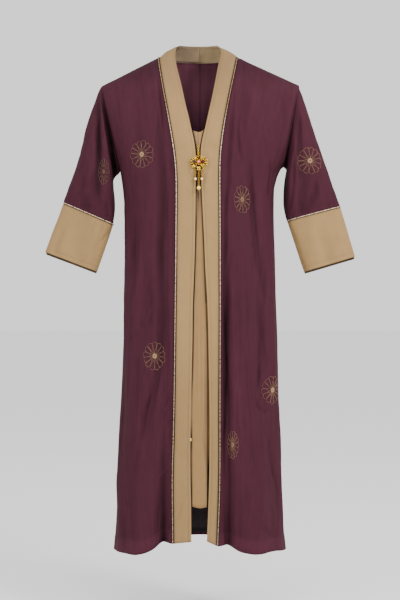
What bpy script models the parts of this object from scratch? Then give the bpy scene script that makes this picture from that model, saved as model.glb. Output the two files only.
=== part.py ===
import math

import bpy
import numpy as np
from mathutils import Matrix

for item in list(bpy.data.objects):
    bpy.data.objects.remove(item, do_unlink=True)

# Cloth walls and seams, in metres
cloth = 0.0016
band_cloth = 0.0020
cuff_cloth = 0.0020
insert_cloth = 0.0012
lining_cloth = 0.0012
seam_gap = 0.0003
cord_radius = 0.0016

# The figure that the garment fills
hem_height = -1.305
neck_depth = 0.080
shoulder_round = 0.150
body_squareness = 2.4
front_columns = 12
neck_columns = 4
back_columns = 7
armhole_rows = 12
sleeve_rows = 11
cuff_rows = 3
band_columns = 3

# x is positive towards the wearer's left; tip and underarm are (distance out, height)
sides = {
    "right": {"sign": -1, "neck": 0.1100, "tip": (0.2615, -0.0770), "underarm": (0.2110, -0.3020)},
    "left": {"sign": 1, "neck": 0.0998, "tip": (0.2628, -0.0747), "underarm": (0.2220, -0.2915)},
}

# Height, half width of the body
body_width = {
    "right": [
        (-0.3020, 0.2110),
        (-0.3260, 0.2072),
        (-0.3520, 0.2025),
        (-0.3790, 0.2000),
        (-0.4850, 0.1995),
        (-0.5920, 0.1998),
        (-0.6980, 0.2015),
        (-0.7780, 0.2045),
        (-0.8580, 0.2075),
        (-0.9380, 0.2115),
        (-1.0310, 0.2155),
        (-1.1240, 0.2190),
        (-1.2040, 0.2212),
        (-1.2570, 0.2245),
        (-1.3050, 0.2285),
    ],
    "left": [
        (-0.2915, 0.2220),
        (-0.3000, 0.2105),
        (-0.3120, 0.2030),
        (-0.3262, 0.1985),
        (-0.3520, 0.1968),
        (-0.4320, 0.1950),
        (-0.5120, 0.1968),
        (-0.5920, 0.1998),
        (-0.6980, 0.2038),
        (-0.8310, 0.2075),
        (-0.9380, 0.2101),
        (-1.0310, 0.2135),
        (-1.1240, 0.2165),
        (-1.2040, 0.2198),
        (-1.2570, 0.2225),
        (-1.3050, 0.2275),
    ],
}

# Height, front depth, back depth on the centre line
body_depth = [
    (0.000, 0.080, 0.092),
    (-0.100, 0.090, 0.101),
    (-0.180, 0.098, 0.106),
    (-0.260, 0.104, 0.106),
    (-0.450, 0.102, 0.100),
    (-0.650, 0.098, 0.100),
    (-0.900, 0.097, 0.106),
    (-1.100, 0.096, 0.112),
    (-1.305, 0.090, 0.118),
]

# Height, distance from the middle to the seam between band and front panel
band_seam = {
    "right": [
        (0.000, 0.1100),
        (-0.013, 0.1082),
        (-0.031, 0.1072),
        (-0.044, 0.1046),
        (-0.071, 0.1010),
        (-0.099, 0.0962),
        (-0.153, 0.0855),
        (-0.206, 0.0749),
        (-0.232, 0.0697),
        (-0.258, 0.0648),
        (-0.290, 0.0622),
        (-0.460, 0.0620),
        (-0.720, 0.0645),
        (-0.900, 0.0670),
        (-1.000, 0.0692),
        (-1.080, 0.0712),
        (-1.305, 0.0705),
    ],
    "left": [
        (0.000, 0.0998),
        (-0.013, 0.0962),
        (-0.031, 0.0938),
        (-0.044, 0.0915),
        (-0.071, 0.0860),
        (-0.099, 0.0785),
        (-0.153, 0.0699),
        (-0.206, 0.0568),
        (-0.232, 0.0518),
        (-0.258, 0.0505),
        (-0.290, 0.0503),
        (-0.400, 0.0512),
        (-0.900, 0.0514),
        (-1.160, 0.0500),
        (-1.305, 0.0452),
    ],
}

# Free edge of the band on the body: height, x
band_edge = {
    "right": [
        (-0.2530, -0.0125),
        (-0.2810, -0.0098),
        (-0.3610, -0.0119),
        (-0.4640, -0.0142),
        (-0.6450, -0.0163),
        (-0.9550, -0.0212),
        (-1.3050, -0.0222),
    ],
    "left": [
        (-0.2530, 0.0022),
        (-0.2810, 0.0012),
        (-0.3610, 0.0044),
        (-0.4640, 0.0077),
        (-0.6450, 0.0170),
        (-0.8000, 0.0215),
        (-0.9550, 0.0242),
        (-1.1610, 0.0217),
        (-1.3050, 0.0160),
    ],
}

# Free edge of the collar: height of the seam point, x, y, height
collar_front = {
    "right": [
        (0.0000, -0.0605, 0.0040, 0.0300),
        (-0.0126, -0.0635, -0.0140, 0.0170),
        (-0.0312, -0.0642, -0.0290, -0.0030),
        (-0.0436, -0.0626, -0.0390, -0.0200),
        (-0.0714, -0.0555, -0.0540, -0.0540),
        (-0.0990, -0.0478, -0.0660, -0.0860),
        (-0.1260, -0.0415, -0.0750, -0.1160),
        (-0.1529, -0.0355, -0.0820, -0.1440),
        (-0.1793, -0.0290, -0.0880, -0.1700),
        (-0.2057, -0.0232, -0.0930, -0.1975),
        (-0.2319, -0.0172, -0.0980, -0.2250),
        (-0.2580, -0.0125, -0.1020, -0.2530),
    ],
    "left": [
        (0.0000, 0.0510, 0.0040, 0.0300),
        (-0.0126, 0.0545, -0.0140, 0.0170),
        (-0.0312, 0.0528, -0.0290, -0.0030),
        (-0.0436, 0.0490, -0.0390, -0.0200),
        (-0.0714, 0.0428, -0.0540, -0.0540),
        (-0.0990, 0.0368, -0.0660, -0.0860),
        (-0.1260, 0.0310, -0.0750, -0.1160),
        (-0.1529, 0.0250, -0.0820, -0.1440),
        (-0.1793, 0.0193, -0.0880, -0.1700),
        (-0.2057, 0.0134, -0.0930, -0.1975),
        (-0.2319, 0.0070, -0.0980, -0.2250),
        (-0.2580, 0.0022, -0.1020, -0.2530),
    ],
}

# Free edge of the collar behind the neck: degrees round from centre back, x, y, height
collar_back = {
    "right": [
        (0.0, -0.0040, 0.0460, 0.0388),
        (22.5, -0.0260, 0.0430, 0.0386),
        (45.0, -0.0420, 0.0350, 0.0380),
        (67.5, -0.0530, 0.0220, 0.0362),
        (90.0, -0.0605, 0.0040, 0.0300),
    ],
    "left": [
        (0.0, -0.0040, 0.0460, 0.0388),
        (22.5, 0.0165, 0.0430, 0.0386),
        (45.0, 0.0325, 0.0350, 0.0380),
        (67.5, 0.0440, 0.0220, 0.0362),
        (90.0, 0.0510, 0.0040, 0.0300),
    ],
}

# Share of the sleeve's length, outer line (out, height), inner line (out, height),
# front depth, back depth, squareness of the section
sleeve_line = {
    "right": [
        (0.00, 0.2615, -0.0770, 0.2110, -0.3020, 0.042, 0.052, 2.0),
        (0.06, 0.2690, -0.0945, 0.2215, -0.3125, 0.052, 0.058, 2.0),
        (0.15, 0.2785, -0.1240, 0.2285, -0.3240, 0.059, 0.062, 2.1),
        (0.30, 0.2930, -0.1700, 0.2288, -0.3420, 0.061, 0.062, 2.2),
        (0.50, 0.3130, -0.2330, 0.2272, -0.3700, 0.057, 0.057, 2.3),
        (0.75, 0.3370, -0.3100, 0.2262, -0.4070, 0.046, 0.046, 2.6),
        (1.00, 0.3620, -0.3873, 0.2309, -0.4439, 0.031, 0.031, 3.0),
    ],
    "left": [
        (0.00, 0.2628, -0.0747, 0.2220, -0.2915, 0.042, 0.052, 2.0),
        (0.06, 0.2700, -0.0930, 0.2285, -0.2990, 0.052, 0.058, 2.0),
        (0.15, 0.2800, -0.1240, 0.2278, -0.3100, 0.059, 0.062, 2.1),
        (0.30, 0.2935, -0.1700, 0.2255, -0.3280, 0.061, 0.062, 2.2),
        (0.50, 0.3140, -0.2310, 0.2238, -0.3580, 0.057, 0.057, 2.3),
        (0.75, 0.3425, -0.3130, 0.2242, -0.3960, 0.046, 0.046, 2.6),
        (1.00, 0.3721, -0.3974, 0.2320, -0.4346, 0.031, 0.031, 3.0),
    ],
}
cuff_line = {
    "right": [
        (0.0, 0.3620, -0.3873, 0.2309, -0.4439, 0.031, 0.031, 3.0),
        (1.0, 0.4099, -0.5178, 0.2735, -0.5695, 0.035, 0.034, 3.2),
    ],
    "left": [
        (0.0, 0.3721, -0.3974, 0.2320, -0.4346, 0.031, 0.031, 3.0),
        (1.0, 0.4118, -0.5298, 0.2777, -0.5697, 0.035, 0.034, 3.2),
    ],
}

# Height of the front hem by x, and of the back hem by distance out
front_hem = [
    (-0.2285, -1.3050),
    (-0.1850, -1.3040),
    (-0.1550, -1.3030),
    (-0.1200, -1.2900),
    (-0.1020, -1.2760),
    (-0.0900, -1.2750),
    (-0.0700, -1.2755),
    (-0.0220, -1.2685),
    (0.0160, -1.2690),
    (0.0300, -1.2790),
    (0.0450, -1.2815),
    (0.0800, -1.2850),
    (0.1030, -1.2960),
    (0.1300, -1.3010),
    (0.1990, -1.3010),
    (0.2275, -1.3050),
]
back_hem = [
    (0.000, -1.2915),
    (0.120, -1.2940),
    (0.228, -1.3050),
]

# Folds: each point is height, x, depth (a ridge is negative), half width
front_folds = [
    [
        (-0.08, -0.126, 0.000, 0.014),
        (-0.18, -0.112, 0.006, 0.015),
        (-0.39, -0.100, 0.009, 0.014),
        (-0.52, -0.105, 0.010, 0.013),
        (-0.70, -0.101, 0.009, 0.013),
        (-0.84, -0.114, 0.008, 0.015),
        (-0.95, -0.139, 0.006, 0.016),
        (-1.08, -0.150, 0.000, 0.016),
    ],
    [(-0.38, -0.166, 0.000, 0.011), (-0.50, -0.174, 0.006, 0.012), (-0.62, -0.186, 0.000, 0.012)],
    [(-0.96, -0.092, 0.000, 0.014), (-1.15, -0.099, 0.013, 0.015), (-1.305, -0.100, 0.026, 0.017)],
    [(-0.80, -0.165, 0.000, 0.045), (-1.10, -0.163, -0.010, 0.042), (-1.305, -0.158, -0.024, 0.040)],
    [(0.00, 0.130, 0.000, 0.013), (-0.10, 0.116, 0.006, 0.014), (-0.26, 0.104, 0.000, 0.014)],
    [
        (-0.28, 0.122, 0.000, 0.013),
        (-0.42, 0.139, 0.007, 0.013),
        (-0.56, 0.156, 0.009, 0.013),
        (-0.68, 0.184, 0.000, 0.013),
    ],
    [(-0.58, 0.156, 0.000, 0.013), (-0.72, 0.163, 0.007, 0.014), (-0.90, 0.170, 0.000, 0.014)],
    [
        (-0.50, 0.066, 0.000, 0.011),
        (-0.66, 0.067, 0.013, 0.011),
        (-1.05, 0.070, 0.015, 0.012),
        (-1.305, 0.074, 0.020, 0.014),
    ],
    [(-0.80, 0.150, 0.000, 0.045), (-1.10, 0.148, -0.009, 0.040), (-1.305, 0.142, -0.022, 0.036)],
    [
        (-0.10, -0.274, 0.006, 0.009),
        (-0.20, -0.268, 0.014, 0.010),
        (-0.31, -0.262, 0.008, 0.010),
        (-0.38, -0.260, 0.000, 0.010),
    ],
    [(-0.11, 0.262, 0.000, 0.010), (-0.22, 0.258, 0.010, 0.011), (-0.34, 0.262, 0.000, 0.012)],
    [(-0.30, 0.318, 0.000, 0.012), (-0.36, 0.305, 0.006, 0.012), (-0.41, 0.296, 0.000, 0.012)],
]
back_folds = [
    [(-0.12, -0.060, 0.000, 0.016), (-0.45, -0.072, 0.008, 0.016), (-0.95, -0.060, 0.000, 0.016)],
    [(-0.30, 0.095, 0.000, 0.015), (-0.60, 0.106, 0.009, 0.015), (-1.05, 0.120, 0.000, 0.016)],
    [(-0.20, -0.165, 0.000, 0.014), (-0.50, -0.150, 0.009, 0.014), (-0.90, -0.132, 0.000, 0.015)],
    [(-0.72, 0.040, 0.000, 0.020), (-1.05, 0.052, 0.012, 0.020), (-1.305, 0.058, 0.022, 0.022)],
    [(-0.78, -0.095, 0.000, 0.020), (-1.05, -0.104, 0.012, 0.022), (-1.305, -0.110, 0.020, 0.024)],
    [(-0.90, 0.150, 0.000, 0.030), (-1.305, 0.140, -0.016, 0.034)],
    [(-0.14, 0.262, 0.000, 0.012), (-0.24, 0.268, 0.010, 0.012), (-0.36, 0.282, 0.000, 0.012)],
    [(-0.13, -0.262, 0.000, 0.012), (-0.23, -0.270, 0.009, 0.012), (-0.35, -0.284, 0.000, 0.012)],
]

# Insert behind the bands: heights of its top edge and hem, and of the length where its pleat opens
insert_top = -0.2070
insert_hem = -1.1790
pleat_start = -0.42
pleat_length = 0.40
scoop_depth = 0.010
# Insert columns that run between the bands: x, its shift in the pleat, distance back,
# its shift in the pleat, share of the scoop
insert_columns = [
    (-0.0120, 0.0000, 0.0000, 0.0000, 0.8),
    (-0.0035, 0.0000, -0.0004, 0.0000, 1.0),
    (0.0040, 0.0060, 0.0000, 0.0000, 0.8),
    (0.0075, 0.0105, 0.0005, 0.0000, 0.5),
    (0.0085, 0.0090, 0.0010, 0.0120, 0.4),
    (0.0115, 0.0125, 0.0010, 0.0150, 0.2),
]
# Insert columns sewn behind the bands: band, share across it, distance behind it
insert_edges = [
    ("right", 0.45, 0.0006),
    ("right", 0.75, 0.0018),
    ("left", 0.75, 0.0018),
    ("left", 0.45, 0.0006),
]

# Lining of the back: height of its top edge, and of its hem above the hem of the back
lining_top = -0.900
lining_above_hem = 0.008

# Brooch
plate_centre = (-0.0034, -0.2930)
plate_thick = 0.0022
plate_points = 33
plate_scallops = 11
scallop_depth = 0.0011
plate_reach = 0.030
link_wire = 0.0012
link_radius = (0.0026, 0.0020)
link_heights = [-0.2512, -0.2580, -0.2648, -0.2716, -0.2784]
flower_height = -0.3058
flower_size = (0.0052, 0.0056, 0.0046)
bezel_wire = 0.0008
drop_ahead = 0.0047
ring_radius = 0.0016
wire_radius = 0.00045
link_play = 0.0011
bead_radius = 0.0013
bead_spacing = 0.0042
cap_radius = 0.0017
boss_size = (0.0016, 0.0026, 0.0016)
# Degrees round the plate from the wearer's left, reach from its centre
plate_outline = [
    (0, 0.0205),
    (30, 0.0200),
    (60, 0.0150),
    (90, 0.0108),
    (120, 0.0150),
    (150, 0.0205),
    (180, 0.0222),
    (210, 0.0212),
    (240, 0.0185),
    (270, 0.0160),
    (300, 0.0180),
    (330, 0.0200),
    (360, 0.0205),
]
# Stones: name, x, z, radius, height, colour
stones = [
    ("stone_centre", -0.0036, -0.2896, 0.0048, 0.0042, (0.72, 0.16, 0.05)),
    ("stone_right", -0.0150, -0.2890, 0.0036, 0.0030, (0.03, 0.04, 0.05)),
    ("stone_left", 0.0078, -0.2890, 0.0036, 0.0030, (0.16, 0.02, 0.02)),
]
# Drops: name, x of its hinge, height of its hinge, distance ahead of the side drops,
# length to the pearl's centre, pearl radius, length of its tip
drops = [
    ("drop_right", -0.0117, -0.3112, 0.0, 0.0229, 0.0043, 0.0012),
    ("drop_left", 0.0048, -0.3112, 0.0, 0.0227, 0.0043, 0.0012),
    ("drop_centre", -0.0032, -0.3128, 0.0064, 0.0447, 0.0051, 0.0022),
]

burgundy = (0.112, 0.032, 0.046)
tan = (0.468, 0.337, 0.203)
insert_tan = (0.413, 0.287, 0.168)
charcoal = (0.016, 0.011, 0.012)
silver_gold = (0.62, 0.52, 0.38)
gold = (0.80, 0.56, 0.20)


def material(name, colour, roughness, metallic):
    found = bpy.data.materials.get(name) or bpy.data.materials.new(name)
    found.use_nodes = True
    shader = found.node_tree.nodes["Principled BSDF"]
    shader.inputs["Base Color"].default_value = (*colour, 1.0)
    shader.inputs["Roughness"].default_value = roughness
    shader.inputs["Metallic"].default_value = metallic
    return found


def read(table, column, at):
    # a smooth line through one column of a table whose first column is the position
    rows = sorted(table)
    place = np.array([row[0] for row in rows], float)
    value = np.array([row[column] for row in rows], float)
    slope = np.gradient(value, place)
    at = np.clip(np.asarray(at, float), place[0], place[-1])
    k = np.clip(np.searchsorted(place, at, side="right") - 1, 0, len(place) - 2)
    step = place[k + 1] - place[k]
    t = (at - place[k]) / step
    return (
        value[k] * (1 + 2 * t) * (1 - t) ** 2
        + slope[k] * step * t * (1 - t) ** 2
        + value[k + 1] * t**2 * (3 - 2 * t)
        + slope[k + 1] * step * t**2 * (t - 1)
    )


def unit(vectors):
    return vectors / np.maximum(np.linalg.norm(vectors, axis=-1, keepdims=True), 1e-12)


def normals(grid, middle, ring=False):
    # outward normals, away from the middle line's points
    if ring:
        across = np.roll(grid, -1, axis=1) - np.roll(grid, 1, axis=1)
    else:
        across = np.gradient(grid, axis=1)
    found = unit(np.cross(across, np.gradient(grid, axis=0)))
    if np.sum(found * (grid - middle)) < 0:
        found = -found
    return found


def share(first, second):
    # one direction for the two edges of a seam
    mean = unit(first + second)
    first[...] = mean
    second[...] = mean


def draw_in(edge, inner):
    # half a seam's gap, along the piece
    edge += unit(inner - edge) * seam_gap / 2


def fold_depth(folds, x, z):
    total = np.zeros_like(x)
    for fold in folds:
        inside = (z <= fold[0][0]) & (z >= fold[-1][0])
        middle = read(fold, 1, z)
        depth = read(fold, 2, z) * inside
        width = read(fold, 3, z)
        total += depth * np.exp(-(((x - middle) / width) ** 2))
    return total


def fold_in(grid, middle, folds, keep, ring=False):
    # press the folds into the side that faces them; keep is 0 on the seams
    found = normals(grid, middle, ring)
    facing = -found[..., 1] if folds is front_folds else found[..., 1]
    facing = np.clip(facing, 0, 1) ** 0.7
    depth = fold_depth(folds, grid[..., 0], grid[..., 2])
    return grid - found * (depth * facing * keep)[..., None]


def shoulder_height(side, out):
    neck = sides[side]["neck"]
    tip = sides[side]["tip"]
    return tip[1] * (out - neck) / (tip[0] - neck)


def cap(below):
    return np.sqrt(1 - (1 - np.clip(below / shoulder_round, 0, 1)) ** 2)


def body_y(side, face, out, height, edge_out, edge_depth):
    # depth of the body's surface at a distance out from the middle
    shape = np.clip(1 - (out / edge_out) ** body_squareness, 0, 1) ** (1 / body_squareness)
    rise = cap(shoulder_height(side, out) - height)
    if face == "front":
        full = read(body_depth, 1, height) * rise
        return -(edge_depth + (full - edge_depth) * shape)
    neck = sides[side]["neck"]
    neckline = neck_depth * np.sqrt(np.clip(1 - (out / neck) ** 2, 0, 1))
    rise = np.where(out < neck, cap(-height), rise)
    full = neckline + (read(body_depth, 2, height) - neckline) * rise
    return edge_depth + (full - edge_depth) * shape


def section(side, table, share_of_length, angles):
    # a ring of a sleeve or cuff: 0 at its outer line, pi at its inner line, front first
    sign = sides[side]["sign"]
    out_x, out_z, in_x, in_z, front, back, square = [read(table, k, share_of_length) for k in range(1, 8)]
    c = np.sign(np.cos(angles)) * np.abs(np.cos(angles)) ** (2 / square)
    s = np.sign(np.sin(angles)) * np.abs(np.sin(angles)) ** (2 / square)
    along = (1 + c) / 2
    x = sign * (in_x + (out_x - in_x) * along)
    z = in_z + (out_z - in_z) * along
    y = np.where(s > 0, -front * s, -back * s)
    return np.stack([x, y, z], axis=-1)


def row_heights(side):
    # heights of the rows at the side seam, from the hem to the underarm
    underarm = sides[side]["underarm"][1]
    near = np.array([0.0, 0.009, 0.021, 0.038, 0.064, 0.102])
    far = np.linspace(0.102, underarm - hem_height, 19)[1:]
    heights = underarm - np.concatenate([near, far])[::-1]
    return np.insert(heights, 1, hem_height + lining_above_hem)


def hem_lift(table, at, height):
    share_of_lift = np.clip((-0.95 - height) / (-0.95 - hem_height), 0, 1) ** 2
    return (read(table, 1, at) - hem_height) * share_of_lift


def spread(line, count, start=0):
    # points at even steps along a dense line
    step = np.linalg.norm(np.diff(line, axis=0), axis=1)
    run = np.concatenate([[0], np.cumsum(step)])
    at = np.linspace(0, run[-1], count + 1)[start:]
    return np.stack([np.interp(at, run, line[:, k]) for k in range(3)], axis=-1)


def row_line(side, face, first, last, height, tip_share, edge):
    # one dense row of the body, from a distance out to its side edge
    sign = sides[side]["sign"]
    neck = sides[side]["neck"]
    tip = sides[side]["tip"]
    underarm = sides[side]["underarm"]
    edge_out, edge_depth = edge
    run = np.sin(np.linspace(0, math.pi / 2, 220))
    out = first + (last - first) * run
    if tip_share is None:
        table = front_hem if face == "front" else back_hem
        at = sign * out if face == "front" else out
        z = height + hem_lift(table, at, height) * np.ones_like(out)
    else:
        if face == "front":
            reach = neck + (tip[0] - neck) * (out - first) / (edge_out - first)
        else:
            reach = np.where(out < neck, out, neck + (tip[0] - neck) * (out - neck) / (edge_out - neck))
        top = tip[1] * np.clip((reach - neck) / (tip[0] - neck), 0, 1)
        z = underarm[1] + tip_share * (top - underarm[1])
    y = body_y(side, face, out, z, edge_out, edge_depth)
    return np.stack([sign * out, y, z], axis=-1)


def body_grid(side, face):
    # rows from the hem to the shoulder; columns from the centre (or the band) to the side
    sign = sides[side]["sign"]
    neck = sides[side]["neck"]
    underarm = sides[side]["underarm"]
    rows = []
    angles = math.pi * (1 - np.arange(armhole_rows + 1) / armhole_rows)
    if face == "back":
        angles = -angles
    armhole = section(side, sleeve_line[side], 0.0, angles)
    steps = [(height, None, None) for height in row_heights(side)]
    for k in range(1, armhole_rows + 1):
        steps.append((None, (1 - math.cos(math.pi * k / armhole_rows)) / 2, armhole[k]))
    for height, tip_share, hole in steps:
        if hole is None:
            edge = (float(read(body_width[side], 1, height)), 0.0)
            seam_height = height
        else:
            edge = (abs(hole[0]), abs(hole[1]))
            seam_height = underarm[1] * (1 - tip_share)
        if face == "front":
            first = float(read(band_seam[side], 1, seam_height))
            line = row_line(side, face, first, edge[0], height, tip_share, edge)
            row = spread(line, front_columns)
        else:
            near = neck * np.sin(np.arange(neck_columns + 1) / neck_columns * math.pi / 2)
            even = neck * np.arange(neck_columns + 1) / neck_columns
            mix = np.clip((-0.05 - seam_height) / 0.25, 0, 1)
            inner = near * (1 - mix) + even * mix
            line = row_line(side, face, 0.0, edge[0], height, tip_share, edge)
            out = np.abs(line[:, 0])
            first = np.stack([np.interp(inner, out, line[:, k]) for k in range(3)], axis=-1)
            rest = line[out > inner[-1]]
            second = spread(np.concatenate([first[-1:], rest]), back_columns, 1)
            row = np.concatenate([first, second])
            row[0, 0] = 0.0
        if hole is not None:
            row[-1] = hole
        row[-1, 0] = sign * edge[0]
        rows.append(row)
    grid = np.array(rows)
    grid[:, -1, 1] = np.where(np.arange(len(rows)) <= len(row_heights(side)) - 1, 0.0, grid[:, -1, 1])
    middle = np.zeros_like(grid)
    middle[..., 2] = grid[..., 2] - 0.02
    keep = np.ones(grid.shape[:2])
    keep[:, 0] = 0
    keep[:, -1] = 0
    keep[:, -2] *= 0.6
    keep[-1, :] = 0
    keep[-2, :] *= 0.5
    grid = fold_in(grid, middle, front_folds if face == "front" else back_folds, keep)
    return grid, normals(grid, middle)


def band_grid(side, panel, back_panel):
    # rows from the hem up to the shoulder and on round the neck to centre back
    seam = [panel[k, 0] for k in range(len(panel))]
    free = []
    for point in seam:
        z0 = point[2]
        if z0 < -0.2580:
            lift = (0.0055 if side == "right" else 0.0125) * np.clip((-1.2 - z0) / 0.08, 0, 1) ** 2
            z1 = z0 + 0.005 * np.clip((z0 + 0.29) / 0.032, 0, 1) + lift
            x1 = float(read(band_edge[side], 1, z1))
            y1 = body_y(side, "front", abs(x1), z1, 0.2, 0.0)
            free.append(np.array([x1, float(y1), z1]))
        else:
            free.append(np.array([float(read(collar_front[side], k, z0)) for k in (1, 2, 3)]))
    for k in range(neck_columns - 1, -1, -1):
        seam.append(back_panel[-1, k])
        free.append(np.array(collar_back[side][k][1:]))
    seam = np.array(seam)
    free = np.array(free)
    share_across = np.linspace(0, 1, band_columns + 1)[None, :, None]
    grid = seam[:, None] * (1 - share_across) + free[:, None] * share_across
    middle = np.zeros_like(grid)
    middle[..., 2] = np.minimum(grid[..., 2], -0.05) - 0.01
    out = normals(grid, middle)
    full = np.where(seam[:, 2] < -0.25, 0.0006, 0.0030)[:, None]
    bulge = full * (4 * share_across[..., 0] * (1 - share_across[..., 0]))
    grid = grid + out * bulge[..., None]
    return grid, normals(grid, middle)


def tube_grid(side, table, rows, even=False):
    count = 2 * armhole_rows
    angles = np.arange(count) * math.pi / armhole_rows
    at = np.linspace(0, 1, rows + 1)
    if not even:
        at = at ** 1.15
    grid = np.array([section(side, table, k, angles) for k in at])
    middle = grid.mean(axis=1, keepdims=True) * np.ones_like(grid)
    keep = np.ones(grid.shape[:2])
    keep[0] = 0
    keep[-1] = 0
    if not even:
        grid = fold_in(grid, middle, front_folds, keep, ring=True)
        grid = fold_in(grid, middle, back_folds, keep, ring=True)
    return grid, normals(grid, middle, ring=True)


def add_object(name, points, faces, finish):
    points = np.asarray(points, float)
    corners = points[np.asarray(faces)]
    if np.einsum("ij,ij->i", corners[:, 0], np.cross(corners[:, 1], corners[:, 2])).sum() < 0:
        faces = [face[::-1] for face in faces]
    mesh = bpy.data.meshes.new(name)
    mesh.from_pydata(points.tolist(), [], [tuple(int(k) for k in face) for face in faces])
    mesh.polygons.foreach_set("use_smooth", [True] * len(mesh.polygons))
    mesh.materials.append(finish)
    made = bpy.data.objects.new(name, mesh)
    bpy.context.scene.collection.objects.link(made)
    return made


def wall(name, outer, inner, finish, ring=False, turn=0):
    # a closed wall between two like grids; cells before turn have the other diagonal
    rows, columns = outer.shape[:2]
    base = rows * columns
    last = columns if ring else columns - 1
    faces = []
    for i in range(rows - 1):
        for j in range(last):
            a = i * columns + j
            b = i * columns + (j + 1) % columns
            c = b + columns
            d = a + columns
            cell = [(a, b, d), (b, c, d)] if j < turn else [(a, b, c), (a, c, d)]
            faces += cell
            faces += [tuple(k + base for k in reversed(face)) for face in cell]
    rims = [[j for j in range(last)], [(rows - 1) * columns + j for j in range(last)]]
    for side_of_rim, starts in enumerate(rims):
        for a in starts:
            b = a - a % columns + (a % columns + 1) % columns
            quad = (a, a + base, b + base, b) if side_of_rim == 0 else (a, b, b + base, a + base)
            faces += [quad[:3], (quad[0], quad[2], quad[3])]
    if not ring:
        for j in (0, columns - 1):
            for i in range(rows - 1):
                a = i * columns + j
                b = a + columns
                quad = (a, b, b + base, a + base) if j == 0 else (a, a + base, b + base, b)
                faces += [quad[:3], (quad[0], quad[2], quad[3])]
    points = np.concatenate([outer.reshape(-1, 3), inner.reshape(-1, 3)])
    return add_object(name, points, faces, finish)


def cord(name, path, radius, finish, closed=False, count=6):
    # a round cord along a path
    path = np.asarray(path, float)
    if closed:
        along = unit(np.roll(path, -1, axis=0) - np.roll(path, 1, axis=0))
    else:
        along = unit(np.gradient(path, axis=0))
    guide = np.array([0.0, 1.0, 0.0])
    first = np.cross(along, guide)
    weak = np.linalg.norm(first, axis=1) < 0.2
    first[weak] = np.cross(along[weak], [1.0, 0.0, 0.0])
    first = unit(first)
    for k in range(1, len(first)):
        if first[k] @ first[k - 1] < 0:
            first[k] = -first[k]
    second = np.cross(along, first)
    turn = np.arange(count) * 2 * math.pi / count
    rings = path[:, None] + radius * (
        first[:, None] * np.cos(turn)[None, :, None] + second[:, None] * np.sin(turn)[None, :, None]
    )
    rows = len(rings)
    faces = []
    for i in range(rows if closed else rows - 1):
        for j in range(count):
            a = i * count + j
            b = i * count + (j + 1) % count
            c = ((i + 1) % rows) * count + (j + 1) % count
            d = ((i + 1) % rows) * count + j
            faces += [(a, b, c), (a, c, d)]
    if not closed:
        for j in range(1, count - 1):
            faces.append((0, j + 1, j))
            faces.append(((rows - 1) * count, (rows - 1) * count + j, (rows - 1) * count + j + 1))
    return add_object(name, rings.reshape(-1, 3), faces, finish)


red_cloth = material("burgundy_cloth", burgundy, 0.75, 0.0)
tan_cloth = material("tan_cloth", tan, 0.80, 0.0)
insert_finish = material("insert_cloth", insert_tan, 0.80, 0.0)
lining_finish = material("lining_cloth", charcoal, 0.85, 0.0)
cord_finish = material("metallic_cord", silver_gold, 0.42, 0.6)
gold_finish = material("gold", gold, 0.28, 1.0)
pearl_finish = material("pearl", (0.80, 0.70, 0.50), 0.25, 0.1)

grids = {}
facing = {}
for side in sides:
    for face in ("front", "back"):
        grids[face, side], facing[face, side] = body_grid(side, face)
    grids["band", side], facing["band", side] = band_grid(side, grids["front", side], grids["back", side])
    grids["sleeve", side], facing["sleeve", side] = tube_grid(side, sleeve_line[side], sleeve_rows)
    grids["cuff", side], facing["cuff", side] = tube_grid(side, cuff_line[side], cuff_rows, even=True)

# Where two pieces meet, their edges lean the same way
seam_path = {}
cuff_path = {}
for side in sides:
    front = facing["front", side]
    back = facing["back", side]
    band = facing["band", side]
    sleeve = facing["sleeve", side]
    cuff = facing["cuff", side]
    low = len(row_heights(side))
    for edge in (front[:low, -1], back[:low, -1], front[-1], back[-1, neck_columns:]):
        edge[:, 1] = 0
        edge[...] = unit(edge)
    back[:, 0, 0] = 0
    back[:, 0] = unit(back[:, 0])
    band[-1, :, 0] = 0
    band[-1] = unit(band[-1])
    share(front[:, 0], band[: len(front), 0])
    share(back[-1, :neck_columns], band[len(front) :, 0][::-1])
    for k in range(armhole_rows + 1):
        share(front[low - 1 + k, -1], sleeve[0, armhole_rows - k])
    for k in range(1, armhole_rows):
        share(back[low - 1 + k, -1], sleeve[0, armhole_rows + k])
    back[low - 1, -1] = front[low - 1, -1]
    back[-1, -1] = front[-1, -1]
    share(sleeve[-1], cuff[0])
    lift = cord_radius + seam_gap
    seam_path[side] = grids["band", side][:, 0] + band[:, 0] * lift
    seam_path[side][-1] += unit(seam_path[side][-2] - seam_path[side][-1]) * seam_gap
    cuff_path[side] = grids["cuff", side][0] + cuff[0] * lift

for side, of_side in sides.items():
    front = grids["front", side]
    back = grids["back", side]
    band = grids["band", side]
    sleeve = grids["sleeve", side]
    cuff = grids["cuff", side]
    low = len(row_heights(side))
    draw_in(front[:, 0], front[:, 1])
    draw_in(front[:, -1], front[:, -2])
    draw_in(front[-1], front[-2])
    draw_in(back[:, 0], back[:, 1])
    draw_in(back[:, -1], back[:, -2])
    draw_in(back[-1], back[-2])
    draw_in(band[:, 0], band[:, 1])
    draw_in(band[-1], band[-2])
    draw_in(sleeve[0], sleeve[1])
    draw_in(sleeve[-1], sleeve[-2])
    draw_in(cuff[0], cuff[1])
    for piece, thick, finish in (
        ("front", cloth, red_cloth),
        ("back", cloth, red_cloth),
        ("band", band_cloth, tan_cloth),
        ("sleeve", cloth, red_cloth),
        ("cuff", cuff_cloth, tan_cloth),
    ):
        outer = grids[piece, side]
        inner = outer - facing[piece, side] * thick
        wall(f"{piece}_{side}", outer, inner, finish, ring=piece in ("sleeve", "cuff"))
    cord(f"piping_{side}", seam_path[side], cord_radius, cord_finish, count=5)
    cord(f"cuff_piping_{side}", cuff_path[side], cord_radius, cord_finish, closed=True, count=5)


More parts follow.
